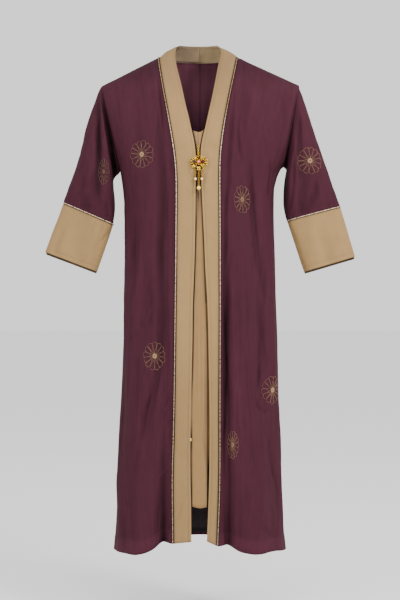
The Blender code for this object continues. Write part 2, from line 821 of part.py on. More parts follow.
# Insert: its edges lie on the inner faces of the bands, its middle hangs a little behind
def band_inside(side, row, share_across, behind):
    grid = grids["band", side] - facing["band", side] * (band_cloth + behind)
    low = int(math.floor(row))
    part = row - low
    column = share_across * band_columns
    left = int(min(math.floor(column), band_columns - 1))
    blend = column - left
    line = grid[:, left] * (1 - blend) + grid[:, left + 1] * blend
    return line[low] * (1 - part) + line[min(low + 1, len(line) - 1)] * part


def row_at(side, height):
    seam = grids["band", side][: len(grids["front", side]), 0, 2]
    return float(np.interp(height, seam, np.arange(len(seam))))


seam_heights = [float(z) for z in grids["band", "right"][: len(grids["front", "right"]), 0, 2]]
low = [z for z in seam_heights if insert_hem + 0.02 < z < -0.45][::2]
high = [z for z in seam_heights if -0.41 < z < insert_top - 0.006]
rows = []
for height in [insert_hem] + low + high + [insert_top]:
    ends = [band_inside(side, row_at(side, height), across, behind) for side, across, behind in insert_edges]
    pleat = float(np.clip((pleat_start - height) / pleat_length, 0, 1))
    pleat = pleat * pleat * (3 - 2 * pleat)
    scoop = scoop_depth * float(np.clip((height + 0.26) / 0.05, 0, 1))
    y_mid = (ends[1][1] + ends[2][1]) / 2 + insert_cloth
    z_mid = (ends[1][2] + ends[2][2]) / 2
    between = []
    for x, x_shift, back_by, back_shift, scoop_share in insert_columns:
        y = y_mid + back_by + back_shift * pleat
        between.append(np.array([x + x_shift * pleat, y, z_mid - scoop * scoop_share]))
    rows.append([*ends[:2], *between, *ends[2:]])
insert = np.array(rows)
insert_middle = np.zeros_like(insert)
insert_middle[..., 2] = insert[..., 2]
insert_out = normals(insert, insert_middle)
insert_out[:, 0] = facing["band", "right"][10, 2]
insert_out[:, -1] = facing["band", "left"][10, 2]
wall("inner_panel", insert, insert - insert_out * insert_cloth, insert_finish)

# Lining: the two backs' inner faces, moved in
halves = []
for side in ("right", "left"):
    back = grids["back", side]
    out = facing["back", side]
    top = int(np.searchsorted(back[:, 0, 2], lining_top))
    face = back[1:top, :-1]
    lean = out[1:top, :-1]
    start = 0 if side == "left" else 1
    halves.append(((face - lean * (cloth + seam_gap))[:, start:], lean[:, start:]))
(right_face, right_lean), (left_face, left_lean) = halves
count = min(len(right_face), len(left_face))
lining = np.concatenate([right_face[:count, ::-1], left_face[:count]], axis=1)
lean = np.concatenate([right_lean[:count, ::-1], left_lean[:count]], axis=1)
wall("back_lining", lining, lining - lean * lining_cloth, lining_finish, turn=right_face.shape[1])


# Brooch: plate, stones and three drops; the drops hang from rings and swing sideways
def turned(name, profile, centre, finish, count=8, axis="z", closed_profile=False):
    # a shape turned round an axis; the profile holds (radius, place along the axis)
    points = []
    index = []
    for radius, place in profile:
        if radius < 1e-6:
            index.append([len(points)] * count)
            points.append((0.0, 0.0, place))
            continue
        index.append([len(points) + j for j in range(count)])
        for j in range(count):
            angle = 2 * math.pi * j / count
            points.append((radius * math.cos(angle), radius * math.sin(angle), place))
    faces = []
    steps = len(profile) if closed_profile else len(profile) - 1
    for i in range(steps):
        low = index[i]
        high = index[(i + 1) % len(profile)]
        for j in range(count):
            k = (j + 1) % count
            for face in ((low[j], low[k], high[k]), (low[j], high[k], high[j])):
                if len(set(face)) == 3:
                    faces.append(face)
    points = np.array(points)
    if axis == "y":
        points = points[:, [0, 2, 1]] * [1, -1, 1]
    return add_object(name, points + centre, faces, finish)


def ring(name, centre, axis, radius, wire, finish, count=10, sides_of_wire=4):
    around = np.arange(count) * 2 * math.pi / count
    flat = np.stack([np.cos(around), np.sin(around), np.zeros(count)], axis=-1) * radius
    if axis == "y":
        flat = flat[:, [0, 2, 1]]
    if axis == "x":
        flat = flat[:, [2, 0, 1]]
    spokes = unit(flat)
    normal = {"x": [1, 0, 0], "y": [0, 1, 0], "z": [0, 0, 1]}[axis]
    turn = np.arange(sides_of_wire) * 2 * math.pi / sides_of_wire
    rings = flat[:, None] + wire * (
        spokes[:, None] * np.cos(turn)[None, :, None] + np.array(normal) * np.sin(turn)[None, :, None]
    )
    faces = []
    for i in range(count):
        for j in range(sides_of_wire):
            a = i * sides_of_wire + j
            b = i * sides_of_wire + (j + 1) % sides_of_wire
            c = ((i + 1) % count) * sides_of_wire + (j + 1) % sides_of_wire
            d = ((i + 1) % count) * sides_of_wire + j
            faces += [(a, b, c), (a, c, d)]
    return add_object(name, rings.reshape(-1, 3) + centre, faces, finish)


def ball(name, centre, size, finish, count=8, rows=5):
    angles = np.linspace(-math.pi / 2, math.pi / 2, rows + 1)
    profile = [(max(math.cos(a), 0.0) if abs(a) < 1.57 else 0.0, math.sin(a)) for a in angles]
    made = turned(name, profile, (0, 0, 0), finish, count)
    made.data.transform(Matrix.Translation(centre) @ Matrix.Diagonal((*size, 1.0)))
    return made


def join(target, others):
    # unite shapes that overlap into one body
    for other in others:
        step = target.modifiers.new("join_" + other.name, "BOOLEAN")
        step.operation = "UNION"
        step.solver = "EXACT"
        step.object = other
        other.hide_render = True
        other.display_type = "WIRE"


def near_front(x, z, reach):
    # how far forward the bands come around a place
    found = [grids["band", side].reshape(-1, 3) for side in sides]
    points = np.concatenate(found)
    close = (np.abs(points[:, 2] - z) < reach) & (np.abs(points[:, 0] - x) < reach)
    return float(points[close, 1].min())


plate_x, plate_z = plate_centre
plate_y = near_front(plate_x, plate_z, plate_reach) - seam_gap
front_y = plate_y - plate_thick
angles = np.arange(plate_points) * 2 * math.pi / plate_points
reach = read(plate_outline, 1, np.degrees(angles)) + scallop_depth * np.cos(plate_scallops * angles)
outline = np.zeros((plate_points, 3))
outline[:, 0] = plate_x + reach * np.cos(angles)
outline[:, 2] = plate_z + reach * np.sin(angles)
back_face = outline + [0, plate_y, 0]
front_face = outline + [0, front_y, 0]
around = range(plate_points)
faces = [tuple(around), tuple(k + plate_points for k in reversed(around))]
for i in around:
    beside = (i + 1) % plate_points
    faces.append((i, i + plate_points, beside + plate_points, beside))
plate_mesh = bpy.data.meshes.new("brooch_plate")
plate_mesh.from_pydata(np.concatenate([back_face, front_face]).tolist(), [], faces)
plate_mesh.materials.append(gold_finish)
plate = bpy.data.objects.new("brooch_plate", plate_mesh)
bpy.context.scene.collection.objects.link(plate)

joined = []
for name, x, z, radius, height, colour in stones:
    bezel = ring("bezel_" + name, (x, front_y, z), "y", radius + bezel_wire * 1.5, bezel_wire, gold_finish, 14)
    joined.append(bezel)
    stone_finish = material(name, colour, 0.08, 0.0)
    dome = [(1.0, 0.0), (0.93, 0.45), (0.6, 0.85), (0.0, 1.0)]
    profile = [(0.0, 0.0)] + [(radius * out, height * up) for out, up in dome]
    turned(name, profile, (x, front_y - seam_gap, z), stone_finish, 12, axis="y")
# Chain from the top of the plate up between the bands: its links are soldered into one piece
for k, height in enumerate(link_heights):
    centre = (plate_x, front_y + link_wire / 2, height)
    joined.append(ring(f"link_{k}", centre, "yx"[k % 2], link_radius[k % 2], link_wire, gold_finish, 8))
flower_place = (plate_x + 0.0003, front_y - 0.0018, flower_height)
joined.append(ball("flower_boss", flower_place, flower_size, gold_finish, 10, 5))
hinges = {}
for name, x, z, ahead, length, pearl, tip in drops:
    y = plate_y - drop_ahead - ahead
    hinges[name] = (x, y, z)
    joined.append(ring("fixed_" + name, (x, y, z + ring_radius), "x", ring_radius, wire_radius, gold_finish))
    boss_y = (y + front_y) / 2 if ahead == 0 else y + boss_size[1] * 0.77
    boss_z = z + 2 * ring_radius + wire_radius + boss_size[2] * 0.4
    joined.append(ball("boss_" + name, (x, boss_y, boss_z), boss_size, gold_finish, 6, 4))
join(plate, joined)

# The drops and pearls are drawn round their hinges
for name, x, z, ahead, length, pearl, tip in drops:
    top = link_play - ring_radius * 2
    moving = ring("ring_" + name, (0, 0, link_play - ring_radius), "y", ring_radius, wire_radius, gold_finish)
    upper = pearl - length
    lower = -pearl - length
    profile = [(0.0, top + 0.0004), (wire_radius, top)]
    beads = int((top - upper - 0.0022) / bead_spacing)
    spacing = (top - upper - 0.0020) / beads
    for k in range(beads):
        at = top - 0.0004 - spacing * (k + 0.5)
        profile += [(wire_radius, at + spacing * 0.44), (bead_radius, at + 0.0006)]
        profile += [(bead_radius, at - 0.0006), (wire_radius, at - spacing * 0.44)]
    profile += [(cap_radius, upper + 0.0007), (cap_radius * 0.88, upper + seam_gap)]
    profile += [(wire_radius, upper + seam_gap), (wire_radius, lower - seam_gap)]
    profile += [(0.0012, lower - seam_gap), (0.0009, lower - tip * 0.7), (0.0, lower - tip)]
    drop = turned(name, profile, (0, 0, 0), gold_finish, 6)
    join(drop, [moving])
    ends = math.asin((wire_radius + seam_gap) / pearl)
    curve = np.linspace(math.pi / 2 - ends, -math.pi / 2 + ends, 8)
    shell = [(pearl * math.cos(a), pearl * math.sin(a) - length) for a in curve]
    bead = turned(name.replace("drop", "pearl"), shell, (0, 0, 0), pearl_finish, 10, closed_profile=True)
    for piece in (drop, moving, bead):
        piece.location = hinges[name]
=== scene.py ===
import math

import bpy
import numpy as np
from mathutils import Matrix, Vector
from mathutils.bvhtree import BVHTree


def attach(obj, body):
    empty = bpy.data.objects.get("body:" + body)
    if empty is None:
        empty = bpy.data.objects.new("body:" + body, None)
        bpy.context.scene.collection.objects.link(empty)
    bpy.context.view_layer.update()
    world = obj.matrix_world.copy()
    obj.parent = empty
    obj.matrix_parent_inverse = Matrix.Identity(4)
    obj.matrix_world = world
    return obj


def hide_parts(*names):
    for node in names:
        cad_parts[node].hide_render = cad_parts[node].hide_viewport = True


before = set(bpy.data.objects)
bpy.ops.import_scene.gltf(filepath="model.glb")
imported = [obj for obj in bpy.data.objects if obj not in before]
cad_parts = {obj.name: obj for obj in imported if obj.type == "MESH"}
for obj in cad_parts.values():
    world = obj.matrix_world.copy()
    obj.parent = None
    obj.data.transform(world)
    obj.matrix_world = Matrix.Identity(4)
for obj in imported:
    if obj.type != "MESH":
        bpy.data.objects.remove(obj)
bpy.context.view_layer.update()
print("frame loaded")

# Where the camera stands; a pixel covers this much on the plane y = 0
picture = {"pixel": 0.00266, "column": 200, "row": 300, "eyeHeight": -0.645, "distance": 3.2, "tall": 600,
           "sensor": 36.0}

# Each sheet's finish, slot and thickness in metres; neighbours keep the gap between them
sheets = {
    "front": ("burgundyCloth", "burgundy_cloth", 0.0014),
    "back": ("burgundyCloth", "burgundy_cloth", 0.0014),
    "sleeve": ("burgundyCloth", "burgundy_cloth", 0.0014),
    "band": ("tanCloth", "tan_cloth", 0.0018),
    "cuff": ("tanCloth", "tan_cloth", 0.0018),
    "innerPanel": ("insertCloth", "insert_cloth", 0.0012),
    "backLining": ("liningCloth", "lining_cloth", 0.0012),
}
gap = 0.0003

mesh = {"frontColumns": 132, "neckColumns": 24, "backColumns": 80, "armholeRows": 40, "bodyRows": 112,
        "underarmRows": 16, "sleeveRows": 84, "cuffRows": 30}

# Columns of the bands as shares of their width, close together along both stitched edges
bandShares = [
    0, 0.012, 0.022, 0.031, 0.04, 0.049, 0.06, 0.074, 0.09, 0.11, 0.15, 0.22, 0.32, 0.42, 0.5, 0.58, 0.68,
    0.78, 0.86, 0.9, 0.92, 0.94, 0.97, 1,
]
# Rows along the sleeves and cuffs, as shares of their length, close together at the seams
sleeveShares = [*(0.975 * np.linspace(0, 1, mesh["sleeveRows"]) ** 1.15), 0.982, 0.988, 0.994, 1]
cuffShares = [0, 0.006, 0.012, 0.018, 0.024, 0.030, 0.038, 0.048,
              *np.linspace(0.065, 0.97, mesh["cuffRows"]), 0.985, 1]

figure = {"hem": -1.305, "underarmSpan": 0.102, "neckDepth": 0.080, "shoulderRound": 0.150, "squareness": 2.4,
          "bandStep": -0.2580, "hemLiftFrom": -0.95}

# x is positive towards the wearer's left; tip and underarm are (distance out, height)
sides = {
    "right": {"sign": -1, "neck": 0.11, "tip": (0.2615, -0.077), "underarm": (0.211, -0.302)},
    "left": {"sign": 1, "neck": 0.0998, "tip": (0.2628, -0.0747), "underarm": (0.222, -0.2915)},
}

# Height, half width of the body
bodyWidth = {
    "right": [
        (-0.302, 0.211), (-0.326, 0.2072), (-0.352, 0.2025), (-0.379, 0.2), (-0.485, 0.1995),
        (-0.592, 0.1998), (-0.698, 0.2015), (-0.778, 0.2045), (-0.858, 0.2075), (-0.938, 0.2115),
        (-1.031, 0.2155), (-1.124, 0.219), (-1.204, 0.2212), (-1.257, 0.2245), (-1.305, 0.2285),
    ],
    "left": [
        (-0.2915, 0.222), (-0.3, 0.2105), (-0.312, 0.203), (-0.3262, 0.1985), (-0.352, 0.1968),
        (-0.432, 0.195), (-0.512, 0.1968), (-0.592, 0.1998), (-0.698, 0.2038), (-0.831, 0.2075),
        (-0.938, 0.2101), (-1.031, 0.2135), (-1.124, 0.2165), (-1.204, 0.2198), (-1.257, 0.2225),
        (-1.305, 0.2275),
    ],
}

# Height, front depth, back depth on the centre line
bodyDepth = [
    (0, 0.08, 0.092), (-0.1, 0.09, 0.101), (-0.18, 0.098, 0.106), (-0.26, 0.104, 0.106),
    (-0.45, 0.102, 0.1), (-0.65, 0.098, 0.1), (-0.9, 0.097, 0.106), (-1.1, 0.096, 0.112),
    (-1.305, 0.09, 0.118),
]

# Height, distance from the middle to the seam between band and front panel
bandSeam = {
    "right": [
        (0, 0.11), (-0.013, 0.1082), (-0.031, 0.1072), (-0.044, 0.1046), (-0.071, 0.101),
        (-0.099, 0.0962), (-0.153, 0.0855), (-0.206, 0.0749), (-0.232, 0.0697), (-0.258, 0.0648),
        (-0.29, 0.0622), (-0.46, 0.062), (-0.72, 0.0645), (-0.9, 0.067), (-1, 0.0692), (-1.08, 0.0712),
        (-1.305, 0.0705),
    ],
    "left": [
        (0, 0.0998), (-0.013, 0.0962), (-0.031, 0.0938), (-0.044, 0.0915), (-0.071, 0.086),
        (-0.099, 0.0785), (-0.153, 0.0699), (-0.206, 0.0568), (-0.232, 0.0518), (-0.258, 0.0505),
        (-0.29, 0.0503), (-0.4, 0.0512), (-0.9, 0.0514), (-1.16, 0.05), (-1.305, 0.0452),
    ],
}

# Free edge of the band on the body: height, x
bandEdge = {
    "right": [
        (-0.253, -0.0125), (-0.281, -0.0098), (-0.361, -0.0116), (-0.413, -0.0119), (-0.49, -0.0128),
        (-0.568, -0.0154), (-0.645, -0.0183), (-0.761, -0.0199), (-0.877, -0.0221), (-1.032, -0.025),
        (-1.109, -0.0246), (-1.16, -0.0234), (-1.305, -0.0222),
    ],
    "left": [
        (-0.253, 0.0022), (-0.281, 0.0012), (-0.361, 0.0044), (-0.413, 0.0068), (-0.49, 0.0106),
        (-0.568, 0.0142), (-0.645, 0.0186), (-0.7, 0.0206), (-0.8, 0.0224), (-0.955, 0.0246),
        (-1.06, 0.0243), (-1.161, 0.0222), (-1.305, 0.016),
    ],
}

# Free edge of the collar: height of the seam point, x on the right, x on the left, y, height
collarFront = [
    (0, -0.0605, 0.051, 0.004, 0.03), (-0.0126, -0.0635, 0.0545, -0.014, 0.017),
    (-0.0312, -0.0642, 0.0528, -0.029, -0.003), (-0.0436, -0.0626, 0.049, -0.039, -0.02),
    (-0.0714, -0.0555, 0.0428, -0.054, -0.054), (-0.099, -0.0478, 0.0368, -0.066, -0.086),
    (-0.126, -0.0415, 0.031, -0.075, -0.116), (-0.1529, -0.0355, 0.025, -0.082, -0.144),
    (-0.1793, -0.029, 0.0193, -0.088, -0.17), (-0.2057, -0.0232, 0.0134, -0.093, -0.1975),
    (-0.2319, -0.0172, 0.007, -0.098, -0.225), (-0.258, -0.0125, 0.0022, -0.102, -0.253),
]

# Free edge of the collar behind the neck: degrees from centre back, x on the right, x on the left, y, height
collarBack = [
    (0, -0.004, -0.004, 0.0451, 0.0388), (11, -0.015, 0.0064, 0.0448, 0.0387),
    (22.5, -0.026, 0.0165, 0.043, 0.0386), (45, -0.042, 0.0325, 0.035, 0.038),
    (67.5, -0.053, 0.044, 0.022, 0.0362), (90, -0.0605, 0.051, 0.004, 0.03),
]

# Share of the sleeve's length, outer line (out, height), inner line (out, height),
# front depth, back depth, squareness of the section
sleeveLine = {
    "right": [
        (0, 0.2615, -0.077, 0.211, -0.302, 0.042, 0.052, 2),
        (0.06, 0.269, -0.0945, 0.2215, -0.3125, 0.052, 0.058, 2),
        (0.15, 0.2785, -0.124, 0.2285, -0.324, 0.059, 0.062, 2.1),
        (0.3, 0.293, -0.17, 0.2288, -0.342, 0.061, 0.062, 2.2),
        (0.5, 0.313, -0.233, 0.2272, -0.37, 0.057, 0.057, 2.3),
        (0.75, 0.337, -0.31, 0.2262, -0.407, 0.046, 0.046, 2.6),
        (1, 0.362, -0.3873, 0.2309, -0.4439, 0.031, 0.031, 3),
    ],
    "left": [
        (0, 0.2628, -0.0747, 0.222, -0.2915, 0.042, 0.052, 2),
        (0.06, 0.27, -0.093, 0.2285, -0.299, 0.052, 0.058, 2),
        (0.15, 0.28, -0.124, 0.2278, -0.31, 0.059, 0.062, 2.1),
        (0.3, 0.2935, -0.17, 0.2255, -0.328, 0.061, 0.062, 2.2),
        (0.5, 0.314, -0.231, 0.2238, -0.358, 0.057, 0.057, 2.3),
        (0.75, 0.3425, -0.313, 0.2242, -0.396, 0.046, 0.046, 2.6),
        (1, 0.3721, -0.3974, 0.232, -0.4346, 0.031, 0.031, 3),
    ],
}
cuffLine = {
    "right": [
        (0, 0.362, -0.3873, 0.2309, -0.4439, 0.031, 0.031, 3),
        (1, 0.4099, -0.5178, 0.2735, -0.5695, 0.035, 0.034, 3.2),
    ],
    "left": [
        (0, 0.3721, -0.3974, 0.232, -0.4346, 0.031, 0.031, 3),
        (1, 0.4118, -0.5298, 0.2777, -0.5697, 0.035, 0.034, 3.2),
    ],
}

# Height of the front hem by x, and of the back hem by distance out
frontHem = [
    (-0.2285, -1.305), (-0.185, -1.304), (-0.155, -1.303), (-0.12, -1.29), (-0.102, -1.276),
    (-0.09, -1.275), (-0.07, -1.2755), (-0.022, -1.2685), (0.016, -1.269), (0.03, -1.279),
    (0.045, -1.2815), (0.08, -1.285), (0.103, -1.296), (0.13, -1.301), (0.199, -1.301), (0.2275, -1.305),
]
backHem = [(0, -1.2915), (0.12, -1.294), (0.228, -1.305)]

# Folds: each point is height, x, depth (a ridge is negative), half width
frontFolds = [
    [(-0.08, -0.126, 0, 0.014), (-0.18, -0.112, 0.006, 0.015), (-0.39, -0.1, 0.009, 0.014),
     (-0.52, -0.105, 0.01, 0.013), (-0.7, -0.101, 0.009, 0.013), (-0.84, -0.114, 0.008, 0.015),
     (-0.95, -0.139, 0.006, 0.016), (-1.08, -0.15, 0, 0.016)],
    [(-0.38, -0.166, 0, 0.011), (-0.5, -0.174, 0.006, 0.012), (-0.62, -0.186, 0, 0.012)],
    [(-0.96, -0.092, 0, 0.014), (-1.15, -0.099, 0.013, 0.015), (-1.305, -0.1, 0.026, 0.017)],
    [(-0.8, -0.165, 0, 0.045), (-1.1, -0.163, -0.01, 0.042), (-1.305, -0.158, -0.024, 0.04)],
    [(0, 0.13, 0, 0.013), (-0.1, 0.116, 0.006, 0.014), (-0.26, 0.104, 0, 0.014)],
    [(-0.28, 0.122, 0, 0.013), (-0.42, 0.139, 0.007, 0.013), (-0.56, 0.156, 0.009, 0.013),
     (-0.68, 0.184, 0, 0.013)],
    [(-0.58, 0.156, 0, 0.013), (-0.72, 0.163, 0.007, 0.014), (-0.9, 0.17, 0, 0.014)],
    [(-0.5, 0.066, 0, 0.011), (-0.66, 0.067, 0.013, 0.011), (-1.05, 0.07, 0.015, 0.012),
     (-1.305, 0.074, 0.02, 0.014)],
    [(-0.8, 0.15, 0, 0.045), (-1.1, 0.148, -0.009, 0.04), (-1.305, 0.142, -0.022, 0.036)],
    [(-0.1, -0.274, 0.006, 0.009), (-0.2, -0.268, 0.014, 0.01), (-0.31, -0.262, 0.008, 0.01),
     (-0.38, -0.26, 0, 0.01)],
    [(-0.11, 0.262, 0, 0.01), (-0.22, 0.258, 0.01, 0.011), (-0.34, 0.262, 0, 0.012)],
    [(-0.3, 0.318, 0, 0.012), (-0.36, 0.305, 0.006, 0.012), (-0.41, 0.296, 0, 0.012)],
]
backFolds = [
    [(-0.12, -0.06, 0, 0.016), (-0.45, -0.072, 0.008, 0.016), (-0.95, -0.06, 0, 0.016)],
    [(-0.3, 0.095, 0, 0.015), (-0.6, 0.106, 0.009, 0.015), (-1.05, 0.12, 0, 0.016)],
    [(-0.2, -0.165, 0, 0.014), (-0.5, -0.15, 0.009, 0.014), (-0.9, -0.132, 0, 0.015)],
    [(-0.72, 0.04, 0, 0.02), (-1.05, 0.052, 0.012, 0.02), (-1.305, 0.058, 0.022, 0.022)],
    [(-0.78, -0.095, 0, 0.02), (-1.05, -0.104, 0.012, 0.022), (-1.305, -0.11, 0.02, 0.024)],
    [(-0.9, 0.15, 0, 0.03), (-1.305, 0.14, -0.016, 0.034)],
    [(-0.14, 0.262, 0, 0.012), (-0.24, 0.268, 0.01, 0.012), (-0.36, 0.282, 0, 0.012)],
    [(-0.13, -0.262, 0, 0.012), (-0.23, -0.27, 0.009, 0.012), (-0.35, -0.284, 0, 0.012)],
]


def unit(vectors):
    return vectors / np.maximum(np.linalg.norm(vectors, axis=-1, keepdims=True), 1e-12)


def smoothStep(value):
    value = np.clip(value, 0, 1)
    return value * value * (3 - 2 * value)


def bell(away, wide, power=2):
    # 1 on a line, fading to nothing on both sides of it
    return np.exp(-((away / wide) ** power))


def readTable(table, column, at):
    # a smooth line through one column of a table whose first column is the place
    rows = sorted(table)
    place = np.array([row[0] for row in rows], float)
    value = np.array([row[column] for row in rows], float)
    slope = np.gradient(value, place)
    at = np.clip(np.asarray(at, float), place[0], place[-1])
    k = np.clip(np.searchsorted(place, at, side="right") - 1, 0, len(place) - 2)
    step = place[k + 1] - place[k]
    t = (at - place[k]) / step
    start = value[k] * (1 + 2 * t) * (1 - t) ** 2 + slope[k] * step * t * (1 - t) ** 2
    return start + value[k + 1] * t**2 * (3 - 2 * t) + slope[k + 1] * step * t**2 * (t - 1)


def closeRing(grid):
    return np.concatenate([grid, grid[:, :1]], axis=1)


def outward(grid, middle, ring=False):
    # normals of a grid, away from its middle line
    across = np.roll(grid, -1, axis=1) - np.roll(grid, 1, axis=1) if ring else np.gradient(grid, axis=1)
    found = unit(np.cross(across, np.gradient(grid, axis=0)))
    return -found if np.sum(found * (grid - middle)) < 0 else found


def toPicture(points):
    scale = picture["pixel"] * (picture["distance"] + points[..., 1]) / picture["distance"]
    column = picture["column"] + points[..., 0] / scale
    return column, picture["row"] - (points[..., 2] - picture["eyeHeight"]) / scale


def edgeReach(grid, axis, fromEnd=False):
    # distance along the cloth from one edge
    run = np.cumsum(np.linalg.norm(np.diff(grid, axis=axis), axis=-1), axis=axis)
    run = np.concatenate([np.zeros_like(np.take(run, [0], axis=axis)), run], axis=axis)
    return np.take(run, [-1], axis=axis) - run if fromEnd else run


def shoulderHeight(side, out):
    neck = sides[side]["neck"]
    tip = sides[side]["tip"]
    return tip[1] * (out - neck) / (tip[0] - neck)


def capShape(below):
    return np.sqrt(1 - (1 - np.clip(below / figure["shoulderRound"], 0, 1)) ** 2)


def bodyDepthAt(side, face, out, height, edgeOut, edgeDepth):
    square = figure["squareness"]
    shape = np.clip(1 - (out / edgeOut) ** square, 0, 1) ** (1 / square)
    rise = capShape(shoulderHeight(side, out) - height)
    if face == "front":
        full = readTable(bodyDepth, 1, height) * rise
        return -(edgeDepth + (full - edgeDepth) * shape)
    neck = sides[side]["neck"]
    neckline = figure["neckDepth"] * np.sqrt(np.clip(1 - (out / neck) ** 2, 0, 1))
    rise = np.where(out < neck, capShape(-height), rise)
    full = neckline + (readTable(bodyDepth, 2, height) - neckline) * rise
    return edgeDepth + (full - edgeDepth) * shape


def sectionRing(side, table, along, angles):
    # a ring of a sleeve or cuff: 0 at its outer line, pi at its inner line, front first
    outX, outZ, inX, inZ, front, back, square = [readTable(table, k, along) for k in range(1, 8)]
    c = np.sign(np.cos(angles)) * np.abs(np.cos(angles)) ** (2 / square)
    s = np.sign(np.sin(angles)) * np.abs(np.sin(angles)) ** (2 / square)
    share = (1 + c) / 2
    x = sides[side]["sign"] * (inX + (outX - inX) * share)
    z = inZ + (outZ - inZ) * share
    return np.stack([x, np.where(s > 0, -front * s, -back * s), z], axis=-1)


def rowHeights(side):
    underarm = sides[side]["underarm"][1]
    near = figure["underarmSpan"] * (np.arange(mesh["underarmRows"] + 1) / mesh["underarmRows"]) ** 1.5
    far = np.linspace(figure["underarmSpan"], underarm - figure["hem"], mesh["bodyRows"])[1:]
    return underarm - np.concatenate([near, far])[::-1]


def hemLift(table, at, height):
    low = figure["hemLiftFrom"]
    lift = readTable(table, 1, at) - figure["hem"]
    return lift * np.clip((low - height) / (low - figure["hem"]), 0, 1) ** 2


def spreadAlong(line, count, start=0):
    # points at even steps along a dense line
    run = np.concatenate([[0], np.cumsum(np.linalg.norm(np.diff(line, axis=0), axis=1))])
    at = np.linspace(0, run[-1], count + 1)[start:]
    return np.stack([np.interp(at, run, line[:, k]) for k in range(3)], axis=-1)


def rowLine(side, face, first, height, tipShare, edge):
    # one dense row of a body panel, below the underarm by height and above it by its share of the armhole
    sign, neck, tip, underarm = [sides[side][key] for key in ("sign", "neck", "tip", "underarm")]
    edgeOut, edgeDepth = edge
    out = first + (edgeOut - first) * np.sin(np.linspace(0, math.pi / 2, 500))
    if tipShare is None:
        at = sign * out if face == "front" else out
        z = height + hemLift(frontHem if face == "front" else backHem, at, height)
    else:
        if face == "front":
            reach = neck + (tip[0] - neck) * (out - first) / (edgeOut - first)
        else:
            reach = np.where(out < neck, out, neck + (tip[0] - neck) * (out - neck) / (edgeOut - neck))
        top = tip[1] * np.clip((reach - neck) / (tip[0] - neck), 0, 1)
        z = underarm[1] + tipShare * (top - underarm[1])
    y = bodyDepthAt(side, face, out, z, edgeOut, edgeDepth)
    return np.stack([sign * out, y, z], axis=-1)


def bodyPanel(side, face):
    # rows from the hem to the shoulder; columns from the centre or the band to the side
    sign, neck, underarm = [sides[side][key] for key in ("sign", "neck", "underarm")]
    holes = mesh["armholeRows"]
    angles = math.pi * (1 - np.arange(holes + 1) / holes)
    armhole = sectionRing(side, sleeveLine[side], 0.0, angles if face == "front" else -angles)
    steps = [(height, None, None) for height in rowHeights(side)]
    below = len(steps)
    steps += [(None, (1 - math.cos(math.pi * k / holes)) / 2, armhole[k]) for k in range(1, holes + 1)]
    share = np.arange(mesh["neckColumns"] + 1) / mesh["neckColumns"]
    rows = []
    for height, tipShare, hole in steps:
        if hole is None:
            edge = (float(readTable(bodyWidth[side], 1, height)), 0.0)
            seamHeight = height
        else:
            edge = (abs(hole[0]), abs(hole[1]))
            seamHeight = underarm[1] * (1 - tipShare)
        if face == "front":
            first = float(readTable(bandSeam[side], 1, seamHeight))
            row = spreadAlong(rowLine(side, face, first, height, tipShare, edge), mesh["frontColumns"])
        else:
            mix = np.clip((-0.05 - seamHeight) / 0.25, 0, 1)
            inner = neck * (np.sin(share * math.pi / 2) * (1 - mix) + share * mix)
            line = rowLine(side, face, 0.0, height, tipShare, edge)
            out = np.abs(line[:, 0])
            first = np.stack([np.interp(inner, out, line[:, k]) for k in range(3)], axis=-1)
            rest = np.concatenate([first[-1:], line[out > inner[-1]]])
            row = np.concatenate([first, spreadAlong(rest, mesh["backColumns"], 1)])
            row[0, 0] = 0.0
        if hole is not None:
            row[-1] = hole
        row[-1, 0] = sign * edge[0]
        rows.append(row)
    grid = np.array(rows)
    grid[:below, -1, 1] = 0.0
    if face == "back":
        easeNeck(grid)
    return easeUnderarm(grid, below)


def easeNeck(grid):
    # the back is rounded where the neckline ends, so no sharp crease starts there
    near = bell(np.arange(grid.shape[1]) - mesh["neckColumns"], 9)[None, :, None]
    keep = (near * smoothStep((edgeReach(grid, 0, True) / 0.016))[..., None])[:, 1:-1]
    for _ in range(90):
        grid[:, 1:-1] += 0.5 * keep * ((grid[:, 2:] + grid[:, :-2]) / 2 - grid[:, 1:-1])


def easeUnderarm(grid, low):
    # rows crowd together level with the underarm: they are spread out again, and no shelf shows there
    near = bell(np.arange(len(grid)) - low, 20)[:, None]
    keep = (smoothStep(edgeReach(grid, 1, True) / 0.045) * near)[1:-1, :, None]
    for _ in range(160):
        grid[1:-1] += 0.5 * keep * ((grid[2:] + grid[:-2]) / 2 - grid[1:-1])
    return grid


def bandStrip(side, panel, backPanel):
    # rows from the hem up to the shoulder and on round the neck to centre back
    seam = [panel[k, 0] for k in range(len(panel))]
    columns = (1 if side == "right" else 2, 3, 4)  # x, y and height in the collar's tables
    free = []
    for point in seam:
        z0 = point[2]
        if z0 < figure["bandStep"]:
            lift = (0.0055 if side == "right" else 0.0125) * np.clip((-1.2 - z0) / 0.08, 0, 1) ** 2
            z1 = z0 + 0.005 * np.clip((z0 + 0.29) / 0.032, 0, 1) + lift
            x1 = float(readTable(bandEdge[side], 1, z1))
            free.append(np.array([x1, float(bodyDepthAt(side, "front", abs(x1), z1, 0.2, 0.0)), z1]))
        else:
            free.append(np.array([float(readTable(collarFront, k, z0)) for k in columns]))
    for k in range(mesh["neckColumns"] - 1, -1, -1):
        seam.append(backPanel[-1, k])
        turn = 90.0 * k / mesh["neckColumns"]
        free.append(np.array([float(readTable(collarBack, c, turn)) for c in columns]))
    seam = np.array(seam)
    free = np.array(free)
    across = np.array(bandShares)[None, :, None]
    grid = seam[:, None] * (1 - across) + free[:, None] * across
    middle = np.zeros_like(grid)
    middle[..., 2] = np.minimum(grid[..., 2], -0.05) - 0.01
    full = np.where(seam[:, 2] < -0.25, 0.0006, 0.0030)[:, None]
    crown = full * (4 * across[..., 0] * (1 - across[..., 0]))
    return grid + outward(grid, middle) * crown[..., None], middle


